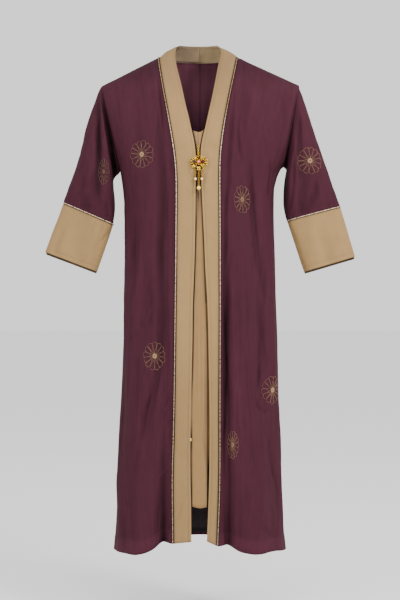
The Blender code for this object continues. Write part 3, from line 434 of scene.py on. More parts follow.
def tubeGrid(side, table, shares):
    count = 2 * mesh["armholeRows"]
    angles = np.arange(count) * 2 * math.pi / count
    grid = np.array([sectionRing(side, table, share, angles) for share in shares])
    return grid, grid.mean(axis=1, keepdims=True) * np.ones_like(grid)


# Creases as the front is seen in the picture: column, row, depth in mm, half width in mm; a ridge is negative
frontCreases = {
    "right": [
        [(158, 72, 0, 5), (159, 95, 4, 5), (161.5, 122, 5.5, 5), (163.5, 146, 4, 5), (165, 160, 2, 6),
         (165, 185, 5, 8), (163.5, 205, 6, 9), (160.5, 228, 6, 9), (161, 262, 6, 10), (162, 300, 7.5, 10),
         (163, 320, 9, 9), (162, 350, 3, 8)],
        [(160, 135, 0, 6), (158, 155, 4, 7), (156.5, 190, 4, 7), (155.5, 215, 2, 8), (156, 280, 4, 9),
         (157, 300, 0, 9)],
        [(169, 170, 0, 6), (169, 200, -2.5, 7), (169, 260, -3, 7), (169.5, 330, -2.5, 7),
         (170, 380, 0, 7)],
        [(151, 175, 0, 9), (149, 200, -3, 10), (145, 232, -4, 10), (141, 262, -4, 10), (138, 290, -3, 9),
         (135, 310, 0, 8)],
        [(134.5, 214, 0, 4), (134, 228, 5, 5), (133, 243, 7, 5.5), (131.5, 256, 7, 5), (129.5, 268, 3, 5),
         (127, 300, 0, 7)],
        [(142, 232, 0, 3), (140, 255, -1.5, 3), (137, 283, -2, 3), (133.5, 302, -2.2, 3),
         (131, 317, -2, 3), (127, 332, 0, 3)],
        [(152, 305, 0, 3.5), (148, 315, -3, 3.5), (144, 325, -3.5, 3.5), (139, 329.5, -3, 3.5),
         (134, 334, -2.5, 3.5), (131, 340, 0, 4)],
        [(139, 333, 0, 4), (133, 337, 3, 4.5), (130, 339, 3.5, 4.5), (127, 345, 0, 5)],
        [(131, 338, 0, 3), (129.5, 360, -2.2, 3), (128, 385, -2.2, 3), (126, 405, -1, 3),
         (123.5, 425, 0, 3)],
        [(160, 340, 4, 6), (160, 366, 5, 6), (157, 378, 6, 6), (154, 388, 5, 6), (150, 396, 8, 6),
         (147.5, 405, 9, 6), (145, 416, 6, 7), (142, 432, 5, 7), (139, 450, 5, 7), (137.5, 462, 3, 7),
         (137, 472, 0, 7)],
        [(163, 350, 0, 6), (160, 378, -3, 6), (157.5, 402, -3, 7), (154.5, 430, -3, 7),
         (151, 458, -2.5, 7), (148, 485, -2, 8), (145, 505, 0, 8)],
        [(173, 463, 0, 3), (169, 466, -3, 3.5), (164, 471, -4, 3.5), (159, 477, -2, 4), (157, 482, 0, 4)],
        [(169, 469, 0, 3), (166, 475, 5, 3.5), (163, 485, 8, 4.5), (160.5, 498, 10, 6),
         (158.5, 515, 12, 7), (158, 552, 12, 8)],
        [(121, 499, 0, 3), (126, 502, 2.5, 3), (131, 503, 2.5, 3), (136, 500, 0, 3)],
        [(121, 508, 0, 3), (125, 511, -1.5, 3), (130, 512, 0, 3)],
        [(121, 518, 0, 3), (124, 523, 2.5, 3), (128, 525, 0, 3)],
        [(121, 530, 0, 3), (125, 534, 2.5, 3), (131, 534, 2.5, 3), (136, 530, 0, 3)],
        [(122, 540, 0, 3), (127, 545, 2.5, 3.5), (134, 549, 0, 4)],
        [(125, 476, 0, 3), (122.5, 488, -2, 3), (121, 497, 0, 3)],
        [(112, 136, 0, 6), (118, 130, 1.4, 6), (126, 124, 1.4, 6), (134, 118, 0, 6)],
        [(116, 158, 0, 5), (120, 147, 2, 5), (125, 138, 1.6, 6), (131, 128, 0, 6)],
        [(120, 165, 0, 5), (125, 152, 1.6, 5), (131, 142, 0, 6)],
        [(156, 80, 0, 4), (155.5, 110, -1.8, 4), (153.5, 140, -1.8, 4), (151, 165, 0, 5)],
        [(146, 364, 0, 3), (144, 372, 2.4, 3), (141, 380, 0, 3)],
        [(150, 367, 0, 3), (148, 375, 2, 3), (146, 383, 0, 3)],
        [(141, 358, 0, 3), (137, 361, 1.6, 3), (133, 362, 0, 3)],
    ],
    "left": [
        [(241, 60, 0, 5), (244.5, 72, 4, 5), (244, 92, 5, 5), (240.5, 115, 5, 5), (238.5, 132, 5, 5),
         (239.5, 148, 4.5, 5), (241.5, 158, 2, 6), (243, 172, 0, 7)],
        [(235, 85, 0, 5), (233.5, 105, 3, 5), (231, 132, 3.5, 6), (229, 160, 5, 6), (228.5, 182, 4.5, 6),
         (226.5, 200, 7, 5), (226, 225, 5, 6), (225.5, 250, 6, 6), (225, 275, 7, 6), (225, 300, 6, 6),
         (226.5, 360, 8, 5), (226.3, 400, 6, 5), (224.8, 440, 9, 7), (226, 468, 4, 6), (227, 480, 0, 7)],
        [(232, 240, 0, 8), (232, 300, -3, 8), (233, 360, -3, 8), (234, 410, -3, 8), (233, 470, 0, 8)],
        [(250.5, 160, 0, 6), (252, 178, 5, 6), (253.5, 197, 8, 7), (255.5, 218, 9.5, 7.5),
         (257.5, 238, 10, 7.5), (259.5, 256, 9.5, 7), (260, 268, 7, 6.5), (259, 277, 2, 5)],
        [(256.5, 270, 0, 3), (259.5, 277, 3.5, 3), (263.5, 285, 4.5, 3), (267.5, 292, 4, 3),
         (271.5, 300, 3, 3), (274, 306, 0, 3)],
        [(247, 178, 0, 8), (249, 205, -2.5, 8), (250.5, 230, -3, 8), (252.5, 255, -2.5, 8),
         (254, 275, 0, 8)],
        [(269.5, 158, 0, 4), (270.5, 170, 5, 4), (270, 180, 5, 4), (269, 190, 3, 4.5), (268, 200, 0, 5)],
        [(284, 164, 0, 3.5), (279, 168, 2.5, 3.5), (275, 175, 2.5, 3.5), (273.5, 185, 0, 4)],
        [(261, 126, 0, 5), (264, 140, 1.8, 5), (266.5, 155, 2.2, 5), (268, 168, 0, 5)],
        [(282, 95, 0, 6), (284, 108, 2, 6), (285, 125, 0, 6)],
        [(257, 285, 0, 6), (259, 300, 4, 6), (261.5, 318, 5, 6), (262.5, 333, 7, 6), (262.8, 342, 7, 6),
         (262, 356, 4, 6), (259.5, 375, 3.5, 6), (257, 390, 3, 6), (256, 400, 0, 6)],
        [(262, 322, 0, 3), (267, 327, 2.2, 3), (271.5, 332, 2.2, 3), (275, 336, 0, 3)],
        [(248, 355, 0, 4), (248.5, 380, -3, 4), (250, 400, -4, 4), (253, 420, -4.5, 4.5),
         (257, 440, -4.5, 5), (262, 460, -4, 5), (266, 478, -3, 5), (269.5, 492, 0, 5)],
        [(256, 396, 0, 4), (258, 407, 5, 4.5), (263, 411, 5, 5), (269, 413, 3, 5), (274, 415, 0, 5)],
        [(262, 420, 0, 7), (267, 440, 2.5, 8), (271, 462, 2.5, 8), (275, 478, 4, 5), (277, 486, 0, 5)],
        [(233, 285, 0, 3), (233.5, 330, -1, 3), (234, 380, -1, 3), (234, 405, 0, 3)],
        [(246, 285, 0, 3), (246.5, 320, 1.2, 3), (247, 350, 0, 3)],
        [(250, 290, 0, 3), (251, 320, -1.3, 3), (250, 350, 0, 3)],
        [(257, 522, 0, 4), (262, 528, 3.5, 4.5), (268, 533, 4, 4.5), (275, 536.5, 0, 4.5)],
        [(239, 440, 0, 5), (239.5, 480, -2, 5), (240, 525, -2, 5), (240, 548, -1, 5)],
        [(231.5, 470, 0, 5), (232, 500, 3, 5), (232.5, 530, 3, 5), (232.5, 548, 3, 5)],
        [(235, 418, 0, 3), (239, 430, 1.2, 3), (243, 437, 0, 3)],
    ],
}
sleeveCreases = {
    "right": [
        [(99, 92, 0, 3.5), (98.5, 105, 4, 4), (98.3, 125, 5, 4), (98, 145, 5, 4.5), (97.3, 165, 6, 5.5),
         (97, 182, 5, 7), (99, 200, 2.5, 8), (101, 213, 0, 8)],
        [(101.5, 96, 0, 4), (103, 118, -3, 4), (105.5, 140, -3, 5), (108, 162, -3, 5), (110, 182, -2, 5),
         (112, 200, 0, 5)],
        [(101, 90, 3, 3.5), (104, 108, 10, 5), (107.5, 128, 15, 6), (110.5, 144, 17, 6.5),
         (113, 158, 17, 6.5), (115, 170, 13, 6), (116, 182, 5, 5)],
        [(99, 182, 0, 6), (102, 192, 3, 7), (105, 204, 3, 7), (107, 216, 2, 7)],
        [(104, 184, 0, 3), (108, 198, -2, 3), (112, 214, -2, 3)],
        [(101, 190, 0, 3), (103, 202, -1.3, 3), (105, 214, 0, 3)],
        [(92, 140, 0, 6), (92.5, 165, 1.8, 6), (93, 190, 2.2, 6), (94, 208, 0, 6)],
        [(84, 165, 0, 6), (82.5, 185, 1.5, 6), (81, 202, 0, 6)],
        [(88, 150, 0, 7), (87, 175, -1.5, 7), (86, 200, 0, 7)],
    ],
    "left": [
        [(296, 91, 3, 3), (293.5, 102, 8, 4), (291, 116, 12, 5), (289, 132, 15, 5.5), (287, 148, 16, 5.5),
         (285.5, 160, 14, 5.5), (284.5, 172, 6, 5)],
        [(297, 100, 0, 4), (296, 120, 3, 5), (295, 145, 4, 5), (294, 168, 5, 5.5), (292.5, 190, 5, 5.5),
         (290.5, 206, 2, 5), (289.5, 214, 0, 5)],
        [(300.5, 98, 0, 4), (301, 120, 2.5, 4.5), (302, 150, 2.5, 5), (303, 176, 2.5, 6),
         (305, 200, 0, 6)],
        [(298.5, 104, 0, 3.5), (298.8, 130, -2, 3.5), (298.5, 160, -2, 4), (298, 190, 0, 5)],
        [(319, 166, 0, 5), (321.5, 182, 2.2, 5), (325, 202, 0, 6)],
        [(311, 172, 0, 7), (313, 190, -2, 7), (315, 204, 0, 7)],
        [(332, 180, 0, 4), (334, 192, 1.2, 4), (336, 203, 0, 4)],
    ],
}

# Cuff seam from its outer to its inner end, and the gathers on it: share along it, length up, depth
cuffSeams = {
    "right": (
        (65, 202.5), (113.5, 223.5),
        [(0.1, 9, 1.2), (0.19, 11, 1.5), (0.27, 8, 1.3), (0.36, 12, 1.7), (0.44, 8, 1.2), (0.53, 12, 1.8),
         (0.61, 9, 1.4), (0.7, 13, 1.8), (0.79, 9, 1.4), (0.88, 12, 1.6)],
    ),
    "left": (
        (338.7, 205.5), (287, 218.5),
        [(0.1, 8, 1.1), (0.2, 10, 1.3), (0.31, 9, 1.2), (0.42, 12, 1.6), (0.5, 9, 1.4), (0.57, 12, 1.8),
         (0.65, 10, 1.5), (0.73, 14, 2), (0.81, 11, 1.7), (0.89, 13, 2)],
    ),
}
cuffCreases = {
    "right": [
        [(113, 226, 0, 4), (108.5, 233, 3, 5), (103, 239, 2.5, 5), (97, 246, 0, 5)],
        [(98, 218, 0, 4), (94, 226, 1.5, 4), (92, 236, 0, 5)],
        [(70, 212, 0, 8), (62, 235, 1.5, 8), (56, 252, 1, 8)],
    ],
    "left": [
        [(289, 224, 0, 4), (294, 236, 2, 5), (299, 250, 1.5, 5), (303, 262, 0, 5)],
        [(318, 216, 0, 8), (324, 238, 1.5, 8), (330, 258, 1, 8)],
    ],
}

# Soft strips of painted shade in the picture: column, row, tenths darker, half width in mm;
# a negative one is painted light
paintedShadeStrips = {
    "sleeveRight": [
        [(101.8, 88, 2, 2.4), (104.4, 105, 9, 2.8), (107.4, 122, 12, 3.4), (110.9, 140, 15, 4.2),
         (113.2, 155, 16, 4.6), (115.4, 167, 15, 5), (117, 176, 6, 5)],
        [(111, 150, 0, 5), (112.5, 166, 5, 6), (114, 185, 6, 6), (115.5, 205, 6, 6), (115.5, 216, 4, 6)],
        [(97, 92, 0, 4), (96.5, 115, 3, 5), (97.5, 150, 4, 6), (98, 185, 4, 7), (101, 205, 0, 8)],
    ],
    "sleeveLeft": [
        [(298, 90, 3, 2.4), (295.6, 100, 9, 3), (292.4, 116, 11, 3.4), (289.6, 134, 12, 3.8),
         (287.2, 152, 12, 4), (285.4, 166, 11, 4)],
        [(286.5, 150, 0, 4), (285, 168, 6, 5), (284.3, 190, 6, 4), (284, 210, 5, 4), (286, 217, 3, 4)],
    ],
    "frontLeft": [
        [(297.5, 92, 2, 2), (294.6, 106, 5, 2.4), (291, 124, 6, 2.6), (287.6, 146, 7, 2.8),
         (284.6, 163, 7, 3)],
        [(226, 425, 0, 9), (226, 455, -4, 10), (226, 500, -4.5, 11), (227, 548, -4, 11)],
        [(238, 320, 0, 10), (238, 380, -1.6, 12), (240, 440, -1.6, 12), (244, 520, 0, 12)],
        [(225, 308, 1, 3.5), (225.2, 325, 5, 3.5), (225.6, 345, 5, 3.5), (226.4, 362, 5, 3.5),
         (226.6, 376, 3, 3.5), (225.4, 390, 4, 3.5), (225.2, 405, 3, 4), (224.6, 422, 6, 4),
         (223.6, 440, 6, 4), (223.8, 462, 5, 4), (224, 480, 0, 4)],
        [(230, 312, -2, 5), (229.6, 345, -5, 5), (230.4, 375, -6, 5.5), (229.2, 400, -5, 6),
         (229, 430, -4, 6), (228, 455, -2, 6)],
    ],
    "frontRight": [
        [(102.2, 90, 1, 1.8), (105, 107, 4, 2), (108.4, 122, 6, 2.2), (111.8, 140, 9, 2.6),
         (114.2, 155, 10, 2.8), (116.6, 168, 9, 3.2)],
        [(146, 240, 0, 12), (142, 290, -1.4, 14), (138, 340, -1.2, 14), (132, 400, 0, 14)],
        [(119, 505, 0, 6), (122, 520, 2, 7), (124, 545, 2.5, 7)],
    ],
    # the first strips of each band are the brooch's painted shadow
    "bandRight": [
        [(189, 158, 0, 2.6), (188.6, 163, 3, 3), (189.6, 170, 2.4, 3), (192.4, 177, 2.6, 3),
         (193.4, 184, 1.6, 3), (193.5, 192, 0, 3)],
        [(181, 432, 0, 2.5), (183.6, 436, 0.9, 2.5), (186.5, 441, 0, 2.5)],
        [(178, 382, 0, 2.5), (183, 384.5, 0.7, 2.5), (190, 384, 0, 2.5)],
        [(183, 496, 0, 4), (181, 510, 1, 4), (177, 522, 0, 4)],
    ],
    "bandLeft": [
        [(207.6, 157, 0, 2.6), (209.2, 163, 2.4, 2.8), (207.2, 171, 1.8, 3), (205.2, 178, 2.6, 3),
         (203.6, 186, 2, 3), (202.8, 194, 0, 3)],
        [(213, 428, 0, 3), (213.5, 450, 0.8, 4), (213, 480, 0, 4)],
    ],
    "cuffLeft": [[(285.2, 221, 1.6, 5), (294, 244, 1.8, 5), (303, 268, 1.7, 5)]],
    "cuffRight": [
        [(113.5, 225, 2.5, 6), (109, 240, 2, 6), (104, 256, 1, 6), (98, 270, 0, 6)],
        [(103.5, 221, 1, 5), (100, 232, 1.6, 5), (96.5, 243, 1.3, 5), (93, 253, 0, 5)],
        # this broad strip makes the whole cuff a little darker
        [(88, 205, 0.8, 60), (78, 265, 0.8, 60)],
    ],
    "innerPanel": [
        [(198, 131, 5, 0.9), (198.1, 140, 7, 0.9), (198.3, 148, 7, 1)],
        [(193.8, 131, 3, 1.8), (194.8, 138, 6, 2.2), (195.8, 145, 9, 3), (196.2, 152, 10, 3.8),
         (196.5, 170, 10, 3.8), (196.5, 188, 8.5, 3.4), (196.4, 200, 4, 3), (195.6, 240, 2, 2.5),
         (194.5, 300, 2, 2.5)],
        [(201.2, 146, 3, 2.6), (200.9, 158, 8, 3), (200.9, 176, 8, 3), (201.2, 192, 6, 2.8),
         (202.6, 220, 3.5, 2.6), (204.8, 270, 3, 3), (206.4, 300, 5, 4)],
        [(198.4, 186, 3, 1.6), (198.4, 194, 8, 1.6), (198.6, 202, 3, 1.4), (198.8, 212, 0, 1.4)],
        [(201.8, 240, 0, 3), (203.4, 275, 1.8, 3.5), (204.6, 300, 1.5, 4), (205, 330, 0, 4)],
        [(200.6, 300, 0, 2), (200.8, 330, 1.2, 2.4), (201.2, 370, 1.4, 2.4), (201.6, 410, 1.2, 2.4),
         (201.8, 430, 0, 2.4)],
        [(203, 310, 0, 2), (203.2, 345, -1, 2), (203.6, 400, -0.8, 2), (203.8, 425, 0, 2)],
        [(206.4, 288, 0.6, 3), (207, 315, 2.4, 5), (206.8, 345, 3, 5.6), (206.6, 380, 4.4, 6.2),
         (206.6, 420, 4.8, 6), (206.8, 440, 3.8, 5), (207.4, 470, 6, 4), (208.4, 506, 10, 2.4)],
        [(198.6, 182, 2, 8), (198.4, 192, 2.8, 8), (198.2, 204, 2.8, 8), (198.2, 216, 2, 7),
         (198.4, 236, 0, 7)],
        [(203.2, 420, 0, 3), (203.8, 440, 1.6, 4), (205.2, 452, 2.2, 4), (206, 470, 0, 3)],
        [(200, 300, 0, 3), (199.6, 340, -1, 3.5), (200.2, 380, -0.8, 4), (200.5, 420, 0, 4)],
        [(205.6, 478, 0, 0.8), (205.7, 490, 2.6, 0.8), (205.8, 506, 3, 0.8)],
        [(197.4, 300, 0, 2.5), (197.2, 360, 0.9, 3), (196.4, 420, 0, 3)],
    ],
}

# Creases of the back, in the same frame, as if seen through the front
backCreases = {
    "right": [
        [(140, 120, 0, 7), (146, 150, 4, 8), (150, 190, 5, 9), (152, 240, 3, 9), (152, 300, 0, 9)],
        [(118, 178, 0, 5), (128, 196, 4, 6), (136, 220, 4, 7), (142, 250, 0, 8)],
        [(124, 240, 0, 4), (132, 262, 3, 5), (141, 280, 3, 5), (150, 292, 0, 6)],
        [(170, 250, 0, 9), (168, 330, 5, 10), (163, 410, 6, 11), (158, 480, 4, 12), (156, 540, 3, 12)],
        [(186, 330, 0, 9), (184, 400, -4, 10), (181, 470, -4, 11), (180, 540, -3, 12)],
        [(130, 420, 0, 6), (140, 440, 3, 7), (148, 470, 3, 8), (152, 510, 0, 9)],
    ],
    "left": [
        [(262, 118, 0, 7), (256, 150, 4, 8), (251, 200, 5, 9), (249, 260, 3, 9), (250, 310, 0, 9)],
        [(280, 176, 0, 5), (270, 196, 4, 6), (262, 224, 4, 7), (256, 258, 0, 8)],
        [(276, 262, 0, 4), (268, 280, 3, 5), (258, 296, 3, 5), (248, 306, 0, 6)],
        [(226, 230, 0, 9), (229, 310, 4, 10), (234, 400, 6, 11), (239, 470, 4, 12), (242, 540, 3, 12)],
        [(212, 320, 0, 9), (215, 400, -4, 10), (217, 470, -4, 11), (218, 540, -3, 12)],
        [(276, 430, 0, 6), (266, 452, 3, 7), (259, 480, 3, 8), (255, 515, 0, 9)],
    ],
}


def smoothLine(points, pieces=4):
    # a soft curve through given points
    points = np.asarray(points, float)
    ends = np.concatenate([points[:1] * 2 - points[1:2], points, points[-1:] * 2 - points[-2:-1]])
    found = []
    for k in range(1, len(ends) - 2):
        a, b, c, d = ends[k - 1 : k + 3]
        for t in np.arange(pieces) / pieces:
            curve = 2 * b + (c - a) * t + (2 * a - 5 * b + 4 * c - d) * t**2
            found.append(0.5 * (curve + (3 * b - a - 3 * c + d) * t**3))
    return np.array(found + [points[-1]])


def foldField(folds, x, z):
    # the large folds of the solids
    total = np.zeros_like(x)
    for fold in folds:
        inside = (z <= fold[0][0]) & (z >= fold[-1][0])
        total += readTable(fold, 2, z) * inside * bell(x - readTable(fold, 1, z), readTable(fold, 3, z))
    return total


def creaseField(creases, points):
    # listed creases, in metres of depth at each point
    column, row = toPicture(points)
    millimetre = picture["pixel"] * 1000
    total = np.zeros_like(column)
    for crease in creases:
        line = smoothLine(crease)
        reach = 3 * line[:, 3].max() / millimetre
        near = (column > line[:, 0].min() - reach) & (column < line[:, 0].max() + reach)
        near &= (row > line[:, 1].min() - reach) & (row < line[:, 1].max() + reach)
        if not near.any():
            continue
        c = column[near]
        r = row[near]
        best = np.zeros_like(c)
        for a, b in zip(line[:-1], line[1:]):
            step = b - a
            along = (c - a[0]) * step[0] + (r - a[1]) * step[1]
            along = np.clip(along / max(step[0] ** 2 + step[1] ** 2, 1e-9), 0, 1)
            away = np.hypot(c - a[0] - along * step[0], r - a[1] - along * step[1]) * millimetre
            value = (a[2] + along * step[2]) * bell(away, a[3] + along * step[3])
            best = np.where(np.abs(value) > np.abs(best), value, best)
        total[near] += best / 1000
    return total


# The uneven swell of hanging cloth: distance between crests across and along, height, seed
swells = [(0.075, 0.60, 0.0016, 3), (0.032, 0.26, 0.0006, 8), (0.017, 0.060, 0.00016, 15)]
waves = 16


def swellField(points, strength=1.0):
    total = np.zeros(points.shape[:-1])
    for crossing, running, height, seed in swells:
        chance = np.random.default_rng(seed)
        for _ in range(waves):
            turn = chance.uniform(0, math.pi)
            across = 2 * math.pi / (crossing * chance.uniform(0.7, 1.6))
            along = 2 * math.pi / (running * chance.uniform(0.6, 1.6)) * chance.choice([-1, 1])
            wave = np.array([across * math.cos(turn), across * math.sin(turn), along])
            total += np.sin(points @ wave + chance.uniform(0, 2 * math.pi)) * height / math.sqrt(waves / 2)
    return total * strength


# Fine folds that hang with the cloth: number, depth, half width and length in metres; first seed by side
hanging = {
    "front": {"number": 60, "depth": 0.00115, "wide": (0.0030, 0.0085), "long": (0.18, 0.66)},
    "back": {"number": 70, "depth": 0.00120, "wide": (0.0032, 0.0100), "long": (0.20, 0.66)},
    "sleeve": {"number": 34, "depth": 0.00070, "wide": (0.0028, 0.0070), "long": (0.08, 0.28)},
}
hangSeeds = {"right": 21, "left": 34}


def hangField(grid, part, side, ring=False):
    # soft ridges and troughs that follow the hang of the cloth, uneven in depth, width and length
    look = hanging[part]
    chance = np.random.default_rng(hangSeeds[side] + list(hanging).index(part))
    reach = edgeReach(closeRing(grid) if ring else grid, 1)
    whole = reach[:, -1:]
    across = (reach / whole)[:, : grid.shape[1]]
    up = edgeReach(grid, 0)
    tall = float(up[-1].max())
    total = np.zeros(grid.shape[:2])
    for k in range(look["number"]):
        place = chance.uniform(0.02, 0.98)
        long = chance.uniform(*look["long"])
        foot = chance.uniform(-0.3 * long, tall - 0.6 * long)
        wide = chance.uniform(*look["wide"])
        depth = look["depth"] * chance.uniform(0.35, 1.3) * (1 if k % 2 else -1)
        lean = chance.uniform(-0.012, 0.012)
        sway = chance.uniform(0, 2 * math.pi)
        t = np.clip((up - foot) / long, 0, 1)
        away = across - (place + (lean * (t - 0.5) + 0.0016 * np.sin(up * 14 + sway)) / whole)
        if ring:
            away = (away + 0.5) % 1 - 0.5
        window = smoothStep(t / 0.35) * smoothStep((1 - t) / 0.35)
        total += depth * window * bell(away * whole, wide * (0.75 + 0.5 * t))
    # the chest hangs smoother than the skirt
    return total * (1 if ring else 0.35 + 0.65 * smoothStep((-0.22 - grid[..., 2]) / 0.42))


def softened(field, passes, ring=False):
    # the field blurred across its columns
    for _ in range(passes):
        if ring:
            field = (np.roll(field, 1, axis=1) + 2 * field + np.roll(field, -1, axis=1)) / 4
        else:
            wider = np.concatenate([field[:, :1], field, field[:, -1:]], axis=1)
            field = (wider[:, :-2] + 2 * field + wider[:, 2:]) / 4
    return field


# How strongly creases are pressed in, how much painted shade valleys get, and how much painted shade
# and highlight fine folds get
relief = {"crease": 0.95, "valley": 0.60, "fine": 0.17}


def shadeOf(depth, ring=False):
    # painted shade in valleys and a little painted highlight on crests
    broad = softened(depth, 120, ring)
    fine = depth - softened(depth, 22, ring)
    valley = np.clip((depth - 0.35 * broad) / 0.016, 0, 1) ** 1.3
    return np.clip(relief["valley"] * valley + relief["fine"] * np.clip(fine / 0.0012, -1, 1), -0.35, 1)


def addPaintedShade(name, grid, normal, shade):
    # strips of painted shade and painted light, on the side that faces the viewer
    facing = np.clip(-normal[..., 1], 0, 1) ** 0.5
    return np.clip(shade + 100 * creaseField(paintedShadeStrips.get(name, []), grid) * facing, -0.6, 1.14)


def pressFolds(grid, middle, keep, front=None, back=None, ring=False, strength=1.0, hang=None):
    # front and back are (folds, creases), hang is (part, side)
    # returns the pressed grid, its normals and how deep each point lies
    normal = outward(grid, middle, ring)
    depth = swellField(grid, strength) * keep
    if hang is not None:
        depth = depth + hangField(grid, *hang, ring) * keep
    for pair, toward in ((front, -1), (back, 1)):
        if pair is None:
            continue
        folds, creases = pair
        facing = np.clip(normal[..., 1] * toward, 0, 1) ** 0.7
        large = foldField(folds, grid[..., 0], grid[..., 2])
        small = relief["crease"] * creaseField(creases, grid)
        pressed = np.maximum(np.maximum(large, small), 0) + np.minimum(np.minimum(large, small), 0)
        depth = depth + pressed * facing * keep
    pressedGrid = grid - normal * depth[..., None]
    return pressedGrid, outward(pressedGrid, middle, ring), depth


def gathers(side):
    # small gathers that rise from the cuff's seam
    (outColumn, outRow), (inColumn, inRow), shares = cuffSeams[side]
    lean = 1 if side == "right" else -1
    found = []
    for share, length, depth in shares:
        column = outColumn + (inColumn - outColumn) * share
        row = outRow + (inRow - outRow) * share + 1
        half = (column - lean, row - length * 0.5, depth, 2.8)
        found.append([(column, row, depth, 2.6), half, (column - lean * 2, row - length, 0, 3)])
    return found


# Short slanted pulls beside the right front's band: number, first row, step, columns from the band out
pulls = {"number": 10, "row": 344, "step": 12.6, "columns": (172.5, 169, 165, 161.5)}


def bandPulls():
    found = []
    for k in range(pulls["number"]):
        row = pulls["row"] + pulls["step"] * k + 1.5 * math.sin(k * 2.1)
        long = 8 + 2 * math.sin(k * 1.7)
        shape = ((row, 0, 2.6), (row + 3, 1.5, 2.6), (row + long, 1.4, 2.8), (row + long * 1.8, 0, 3))
        found.append([(column, *rest) for column, rest in zip(pulls["columns"], shape)])
    return found


def clothPiece(name, grid, normal, thick, finish, marks, inside, ring=False):
    # a closed wall with its own UV map in metres, and marks as attributes
    # inside is what its inner face adds to them
    rows, columns = grid.shape[:2]
    base = rows * columns
    wide = columns if ring else columns - 1
    i, j = [k.ravel() for k in np.meshgrid(np.arange(rows - 1), np.arange(wide), indexing="ij")]
    k = (j + 1) % columns
    quads = np.stack([i * columns + j, i * columns + k, (i + 1) * columns + k, (i + 1) * columns + j], axis=1)
    low = np.arange(wide)
    nextLow = (low + 1) % columns
    top = (rows - 1) * columns
    rims = [(nextLow, low, low + base, nextLow + base)]
    rims.append((top + low, top + nextLow, top + nextLow + base, top + low + base))
    if not ring:
        up = np.arange(rows - 1) * columns
        last = up + columns - 1
        rims.append((up, up + columns, up + columns + base, up + base))
        rims.append((last + columns, last, last + base, last + columns + base))
    faces = np.concatenate([quads, quads[:, ::-1] + base, *[np.stack(rim, axis=1) for rim in rims]])
    natural = np.cross(grid[:-1, 1:] - grid[:-1, :-1], grid[1:, :-1] - grid[:-1, :-1])
    if np.sum(natural * normal[:-1, :-1]) < 0:
        faces = faces[:, ::-1]
    points = np.concatenate([grid.reshape(-1, 3), (grid - normal * thick).reshape(-1, 3)])
    made = addMesh(name, points.tolist(), faces.tolist(), finish, np.arange(len(faces)) < 2 * len(quads))
    data = made.data
    u, v = [edgeReach(closeRing(grid) if ring else grid, axis) for axis in (1, 0)]
    corners = np.empty(len(data.loops), np.int32)
    data.loops.foreach_get("vertex_index", corners)
    vertexRow, vertexColumn = np.divmod(corners % base, columns)
    if ring:
        # the last cell of each ring ends at the whole way round, not at zero
        lastCell = np.zeros(len(faces), bool)
        lastCell[: 2 * len(quads)] = np.tile(j == columns - 1, 2)
        vertexColumn = np.where(np.repeat(lastCell, 4) & (vertexColumn == 0), columns, vertexColumn)
    layer = data.uv_layers.new(name="cloth")
    places = np.stack([way[vertexRow, vertexColumn] for way in (u, v)], axis=1)
    layer.data.foreach_set("uv", places.ravel())
    blank = np.zeros((rows, columns))
    for mark in {**marks, **inside}:
        outer = blank + marks.get(mark, 0)
        value = np.concatenate([outer.ravel(), (outer + inside.get(mark, 0)).ravel()])
        setMark(made, mark, value)
    return made


def addMesh(name, points, faces, finish, smooth=True):
    data = bpy.data.meshes.new(name)
    data.from_pydata([tuple(float(c) for c in point) for point in points], [], faces)
    data.polygons.foreach_set("use_smooth", np.broadcast_to(smooth, len(data.polygons)).tolist())
    data.materials.append(finish)
    return addObject(name, data)


def addObject(name, data):
    made = bpy.data.objects.new(name, data)
    bpy.context.scene.collection.objects.link(made)
    return made


def setMark(made, mark, value):
    attribute = made.data.attributes.new(mark, "FLOAT", "POINT")
    attribute.data.foreach_set("value", value.astype(np.float32))


def settle(made, nodeName=None, body="root"):
    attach(made, body)
    if nodeName:
        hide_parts(nodeName)


# Colours are linear; shade is how much painted shade darkens the deepest folds, turned how much lighter the
# painted highlight makes turned hems and pressed edges, streak and broad how the threads vary along their
# run, blueFall how the blue follows the painted shade, and the last tint the inner face's painted light
clothLooks = {
    "burgundyCloth": {
        "colour": (0.0502, 0.0128, 0.0218), "dark": (0.046, 0.0114, 0.0196), "roughness": 0.8, "sheen": 0,
        "sheenColour": (0.75, 0.3, 0.38, 1), "weave": 0.00042, "relief": 0.3, "mottle": 30,
        "turned": 1.22, "shade": 0.86, "streak": 0.2, "broad": 0.34, "blueFall": 1, "gloss": 0.08,
        "paintedInsideLightingTint": (1.1, 1.38, 1.28, 1),
    },
    "tanCloth": {
        "colour": (0.316, 0.195, 0.08), "dark": (0.296, 0.181, 0.073), "roughness": 0.78, "sheen": 0.03,
        "sheenColour": (1, 0.8, 0.5, 1), "weave": 0.00055, "relief": 0.5, "mottle": 40, "turned": 1.05,
        "shade": 0.86, "streak": 0.1, "broad": 0.06, "blueFall": 0.76, "gloss": 0.15,
        "paintedInsideLightingTint": (0.74, 0.86, 1.38, 1),
    },
    "insertCloth": {
        "colour": (0.275, 0.164, 0.067), "dark": (0.256, 0.151, 0.061), "roughness": 0.8, "sheen": 0.03,
        "sheenColour": (1, 0.8, 0.5, 1), "weave": 0.0005, "relief": 0.45, "mottle": 40, "turned": 1.05,
        "shade": 0.9, "streak": 0.1, "broad": 0.1, "blueFall": 0.76, "gloss": 0.15,
        "paintedInsideLightingTint": (1, 1, 1, 1),
    },
    "liningCloth": {
        "colour": (0.023, 0.0155, 0.0165), "dark": (0.012, 0.0078, 0.0085), "roughness": 0.7,
        "sheen": 0.1, "sheenColour": (0.6, 0.5, 0.5, 1), "weave": 0.0004, "relief": 0.3, "mottle": 220,
        "turned": 1.2, "shade": 0.9, "streak": 0.1, "broad": 0.1, "blueFall": 1, "gloss": 0.12,
        "paintedInsideLightingTint": (1, 1, 1, 1),
    },
}


def newFinish(name):
    material = bpy.data.materials.new(name)
    material.use_nodes = True
    return material, material.node_tree, material.node_tree.nodes["Principled BSDF"]


